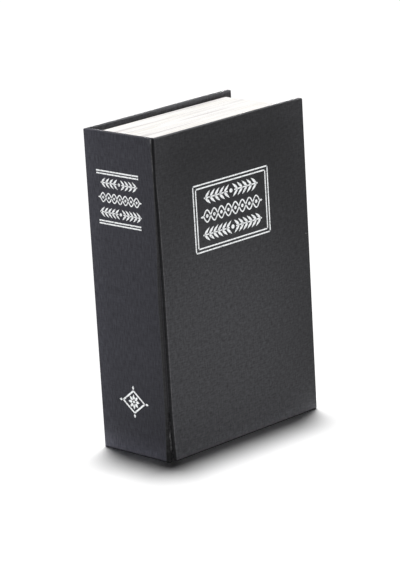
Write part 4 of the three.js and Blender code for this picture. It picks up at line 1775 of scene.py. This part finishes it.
@dataclass
class Stamping:
    """The silver stamping: a framed panel on the front, and rules, rows and a fleuron on the spine.

    Each row is given by the height of its middle and its length.
    """

    finishes: Finishes
    proud: float = 0.01 * MM
    line: float = 0.78 * MM
    frame_low: Pair = (-30.1 * MM, 110.5 * MM)
    frame_high: Pair = (28.8 * MM, 148.3 * MM)
    frame_gap: float = 1.95 * MM
    front_rows: Stops = ((140.0 * MM, 42 * MM), (129.9 * MM, 44 * MM), (119.8 * MM, 46 * MM))
    front_counts: tuple[int, int, int] = (5, 8, 6)
    front_row_height: float = 7.4 * MM
    front_row_line: float = 0.8 * MM
    row_middle: float = -0.7 * MM
    spine_left: float = -17.7 * MM
    spine_right: float = 14.5 * MM
    rule_pairs: Pair = (157.5 * MM, 129.7 * MM)
    rule_pitch: float = 1.5 * MM
    spine_rows: Stops = ((151.8 * MM, 28 * MM), (143.6 * MM, 30 * MM), (135.4 * MM, 32 * MM))
    spine_counts: tuple[int, int, int] = (4, 7, 5)
    spine_row_height: float = 5.6 * MM
    spine_row_line: float = 0.68 * MM
    fleuron_centre: Pair = (-0.2 * MM, 30.3 * MM)
    fleuron_size: Pair = (16.5 * MM, 12.5 * MM)
    fleuron_line: float = 1.0 * MM
    rosette_size: float = 8.4 * MM
    petals: int = 8
    tip_gap: float = 0.7 * MM
    tip_leaf: Pair = (2.2 * MM, 1.4 * MM)

    def build(self) -> None:
        """Makes all the stamping."""
        self.front_panel()
        self.spine_panel()
        self.spine_fleuron()

    def on_cover(self, name: str) -> FoilPanel:
        """Starts a panel on the cover."""
        level = corners_of("front_cloth")[0].y - self.proud
        return FoilPanel(name, Plane.COVER, Body.COVER, level, self.finishes)

    def on_spine(self, name: str) -> FoilPanel:
        """Starts a panel on the spine."""
        level = corners_of("spine_cloth")[0].x - self.proud
        return FoilPanel(name, Plane.SPINE, Body.CASE, level, self.finishes)

    def front_panel(self) -> None:
        """Makes the double frame on the cover and the three rows inside it."""
        panel = self.on_cover("front_foil_frame")
        gap = Vector((self.frame_gap, self.frame_gap, 0))
        low, high = Vector((*self.frame_low, 0)), Vector((*self.frame_high, 0))
        panel.frame(low, high, self.line)
        panel.frame(low + gap, high - gap, self.line)
        panel.finish()
        rows = self.on_cover("front_foil_rows")
        self.rows(rows, self.front_rows, self.front_row_height, self.front_row_line, self.front_counts)
        rows.finish()

    def spine_panel(self) -> None:
        """Makes the rule pairs on the spine and the rows between them."""
        panel = self.on_spine("spine_foil_rules")
        for middle in self.rule_pairs:
            for sign in (-1, 1):
                y = middle + sign * self.rule_pitch / 2
                panel.rule(Vector((self.spine_left, y, 0)), Vector((self.spine_right, y, 0)), self.line)
        panel.finish()
        rows = self.on_spine("spine_foil_rows")
        self.rows(rows, self.spine_rows, self.spine_row_height, self.spine_row_line, self.spine_counts)
        rows.finish()

    def rows(
        self, panel: FoilPanel, places: Stops, height: float, line: float, counts: tuple[int, int, int]
    ) -> None:
        """Makes a laurel, a guilloche and a laurel, one below the other.

        Args:
            panel: What takes the rows.
            places: The height and length of each row.
            height: How tall each row is.
            line: The width of its stems and strands.
            counts: How many leaf pairs to a side, eyes, and leaf pairs to a side the rows have.
        """
        kinds = (panel.laurel, panel.guilloche, panel.laurel)
        for draw, (up, length), count in zip(kinds, places, counts):
            draw(Vector((self.row_middle, up, 0)), length, height, count, line)

    def spine_fleuron(self) -> None:
        """Makes the fleuron at the foot of the spine: a flower in a lozenge, with a leaf at each tip."""
        panel = self.on_spine("spine_foil_fleuron")
        centre = Vector((*self.fleuron_centre, 0))
        width, height = self.fleuron_size
        panel.lozenge(centre, width, height, self.fleuron_line)
        panel.rosette(centre, self.rosette_size, self.petals)
        for across, up, reach in ((1, 0, width), (-1, 0, width), (0, 1, height), (0, -1, height)):
            root = centre + Vector((across, up, 0)) * (reach / 2 + self.tip_gap)
            panel.leaf(root, math.atan2(up, across), *self.tip_leaf)
        panel.finish()


@dataclass
class SteelSafe:
    """The steel box, its lid, hinge and cam lock, with the small rounded edges that real ones have.

    Each piece is given by its node, its name, its body, its slot and the width of its rounded edges.
    """

    finishes: Finishes
    pieces: tuple[tuple[str, str, Body, Slot, float], ...] = (
        ("steel_box", "folded_steel_box", Body.CASE, Slot.ENAMEL, 0.22 * MM),
        ("lid_plate", "lid_sheet", Body.LID, Slot.ENAMEL, 0.22 * MM),
        ("strike_bracket", "strike_angle", Body.CASE, Slot.ZINC, 0.15 * MM),
        ("box_hinge_leaf", "box_leaf", Body.CASE, Slot.ZINC, 0.1 * MM),
        ("hinge_pin", "hinge_wire", Body.CASE, Slot.ZINC, 0.25 * MM),
        ("lid_hinge_leaf", "lid_leaf", Body.LID, Slot.ZINC, 0.1 * MM),
        ("lock_housing", "lock_bezel", Body.LID, Slot.NICKEL, 0.3 * MM),
        ("lock_washer", "tooth_washer", Body.LID, Slot.ZINC, 0.1 * MM),
        ("lock_nut", "lock_hex_nut", Body.LID, Slot.ZINC, 0.3 * MM),
        ("lock_plug", "key_plug", Body.CYLINDER, Slot.BRASS, 0.15 * MM),
        ("lock_cam", "cam_plate", Body.CYLINDER, Slot.ZINC, 0.15 * MM),
        ("cam_screw", "cam_bolt", Body.CYLINDER, Slot.ZINC, 0.2 * MM),
    )
    rivet_edge: float = 0.2 * MM
    sharp: float = 0.5  # edges that turn more than this many radians are rounded

    def build(self) -> None:
        """Makes every metal piece."""
        for piece in self.pieces:
            self.piece(*piece)
        for index in (1, 2, 3):
            for owner, body in (("box", Body.CASE), ("lid", Body.LID)):
                name = f"{owner}_snap_rivet_{index}"
                self.piece(f"{owner}_rivet_{index}", name, body, Slot.ZINC, self.rivet_edge)

    def piece(self, node: str, name: str, body: Body, slot: Slot, edge: float) -> None:
        """Makes a piece from its node, with its edges rounded.

        Args:
            node: The node that it stands for.
            name: Its own name.
            body: What it moves with.
            slot: The record's slot for its finish.
            edge: How wide its rounded edges are.
        """
        piece = Workpiece.copy_of(node, name)
        piece.modify("BEVEL", width=edge, segments=2, limit_method="ANGLE", angle_limit=self.sharp)
        piece.done(self.finishes.metals[slot], slot, body, [node], smooth_angle=32, flat_faces=True)


@dataclass
class Studio:
    """The pale floor, the soft lamps and the camera."""

    azimuth: float = -44.70
    elevation: float = 15.16
    roll: float = -3.46
    distance: float = 1645.1 * MM
    lens: float = 187.88
    slide_right: float = -1.60 * MM
    slide_up: float = -6.99 * MM
    floor_size: float = 16.0
    ambient: float = 0.004
    key_elevation: float = 80.7
    key_spread: float = 10.8
    key_strength: float = 3.55
    fill_elevation: float = 0.3
    fill_spread: float = 0.6
    fill_strength: float = 1.9

    def build(self) -> None:
        """Makes the studio."""
        scene = bpy.context.scene
        scene.view_settings.view_transform = "Standard"
        self.camera(scene)
        self.floor()
        self.surroundings(scene)
        behind = self.azimuth + 180
        self.sun("key_softbox", behind, self.key_elevation, self.key_spread, self.key_strength)
        for name, azimuth in (("front_fill", self.azimuth), ("back_fill", behind)):
            self.sun(name, azimuth, self.fill_elevation, self.fill_spread, self.fill_strength)

    def camera(self, scene: bpy.types.Scene) -> None:
        """Makes the camera at the photograph's viewing angle.

        Args:
            scene: The scene that it is for.
        """
        back = bearing(self.azimuth, self.elevation)
        roll = math.radians(self.roll)
        right = Vector((0, 0, 1)).cross(back).normalized()
        up = back.cross(right)
        rolled_right = math.cos(roll) * right + math.sin(roll) * up
        rolled_up = math.cos(roll) * up - math.sin(roll) * right
        middle = Vector((0, 0, (CAD_BOX[0].z + CAD_BOX[1].z) / 2))
        data = bpy.data.cameras.new("photo_camera")
        data.lens = self.lens
        data.clip_end = 50
        camera = bpy.data.objects.new("photo_camera", data)
        scene.collection.objects.link(camera)
        place = middle + back * self.distance + rolled_right * self.slide_right + rolled_up * self.slide_up
        turn = Matrix((rolled_right, rolled_up, back)).transposed().to_4x4()
        camera.matrix_world = Matrix.Translation(place) @ turn
        scene.camera = camera

    def floor(self) -> None:
        """Makes the floor, white where nothing shades it."""
        deselect_all()
        bpy.ops.mesh.primitive_plane_add(size=self.floor_size)
        floor = bpy.context.object
        floor.name = "studio_floor"
        surface = Surface("matt_white_floor")
        shader = surface.tree.nodes["Principled BSDF"]
        plain = {"Base Color": linear("#fbfbfb"), "Roughness": 1.0, "Specular IOR Level": 0.0}
        surface.feed(shader, plain)
        floor.data.materials.append(surface.material)
        floor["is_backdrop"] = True

    def surroundings(self, scene: bpy.types.Scene) -> None:
        """Makes the world: white to look at and in reflections, faint as a light.

        Args:
            scene: The scene that it is for.
        """
        world = bpy.data.worlds.new("white_studio")
        world.use_nodes = True
        scene.world = world
        sheet = NodeSheet(world.node_tree)
        path = sheet.add("LightPath").node.outputs
        seen = sheet.add("Math", {0: path["Is Camera Ray"], 1: path["Is Glossy Ray"]}, operation="MAXIMUM")
        either = sheet.add("Math", {0: seen, 1: path["Is Transmission Ray"]}, operation="MAXIMUM")
        strength = sheet.add("MapRange", {0: either, 3: self.ambient, 4: 1.0})
        sheet.feed(sheet.tree.nodes["Background"], {"Color": (1, 1, 1, 1), "Strength": strength})

    def sun(self, name: str, azimuth: float, elevation: float, spread: float, strength: float) -> None:
        """Makes a large, far softbox.

        Args:
            name: The lamp's name.
            azimuth: Where it stands, in degrees, as the camera's azimuth is given.
            elevation: How high it stands, in degrees.
            spread: How wide it looks from the book, in degrees.
            strength: Its strength.
        """
        towards = bearing(azimuth, elevation)
        data = bpy.data.lights.new(name, "SUN")
        data.energy = strength
        data.angle = math.radians(spread)
        lamp = bpy.data.objects.new(name, data)
        bpy.context.scene.collection.objects.link(lamp)
        lamp.rotation_euler = towards.to_track_quat("Z", "Y").to_euler()
        lamp.location = towards * 2
        lamp.visible_camera = False


def main() -> None:
    """Builds the studio and the book, piece by piece."""
    logging.basicConfig(level=logging.INFO, format="%(name)s %(message)s")
    Studio().build()
    finishes = Finishes()
    for part in (BookCase, PageBlock, Stamping, SteelSafe):
        part(finishes).build()


if __name__ == "__main__":
    main()
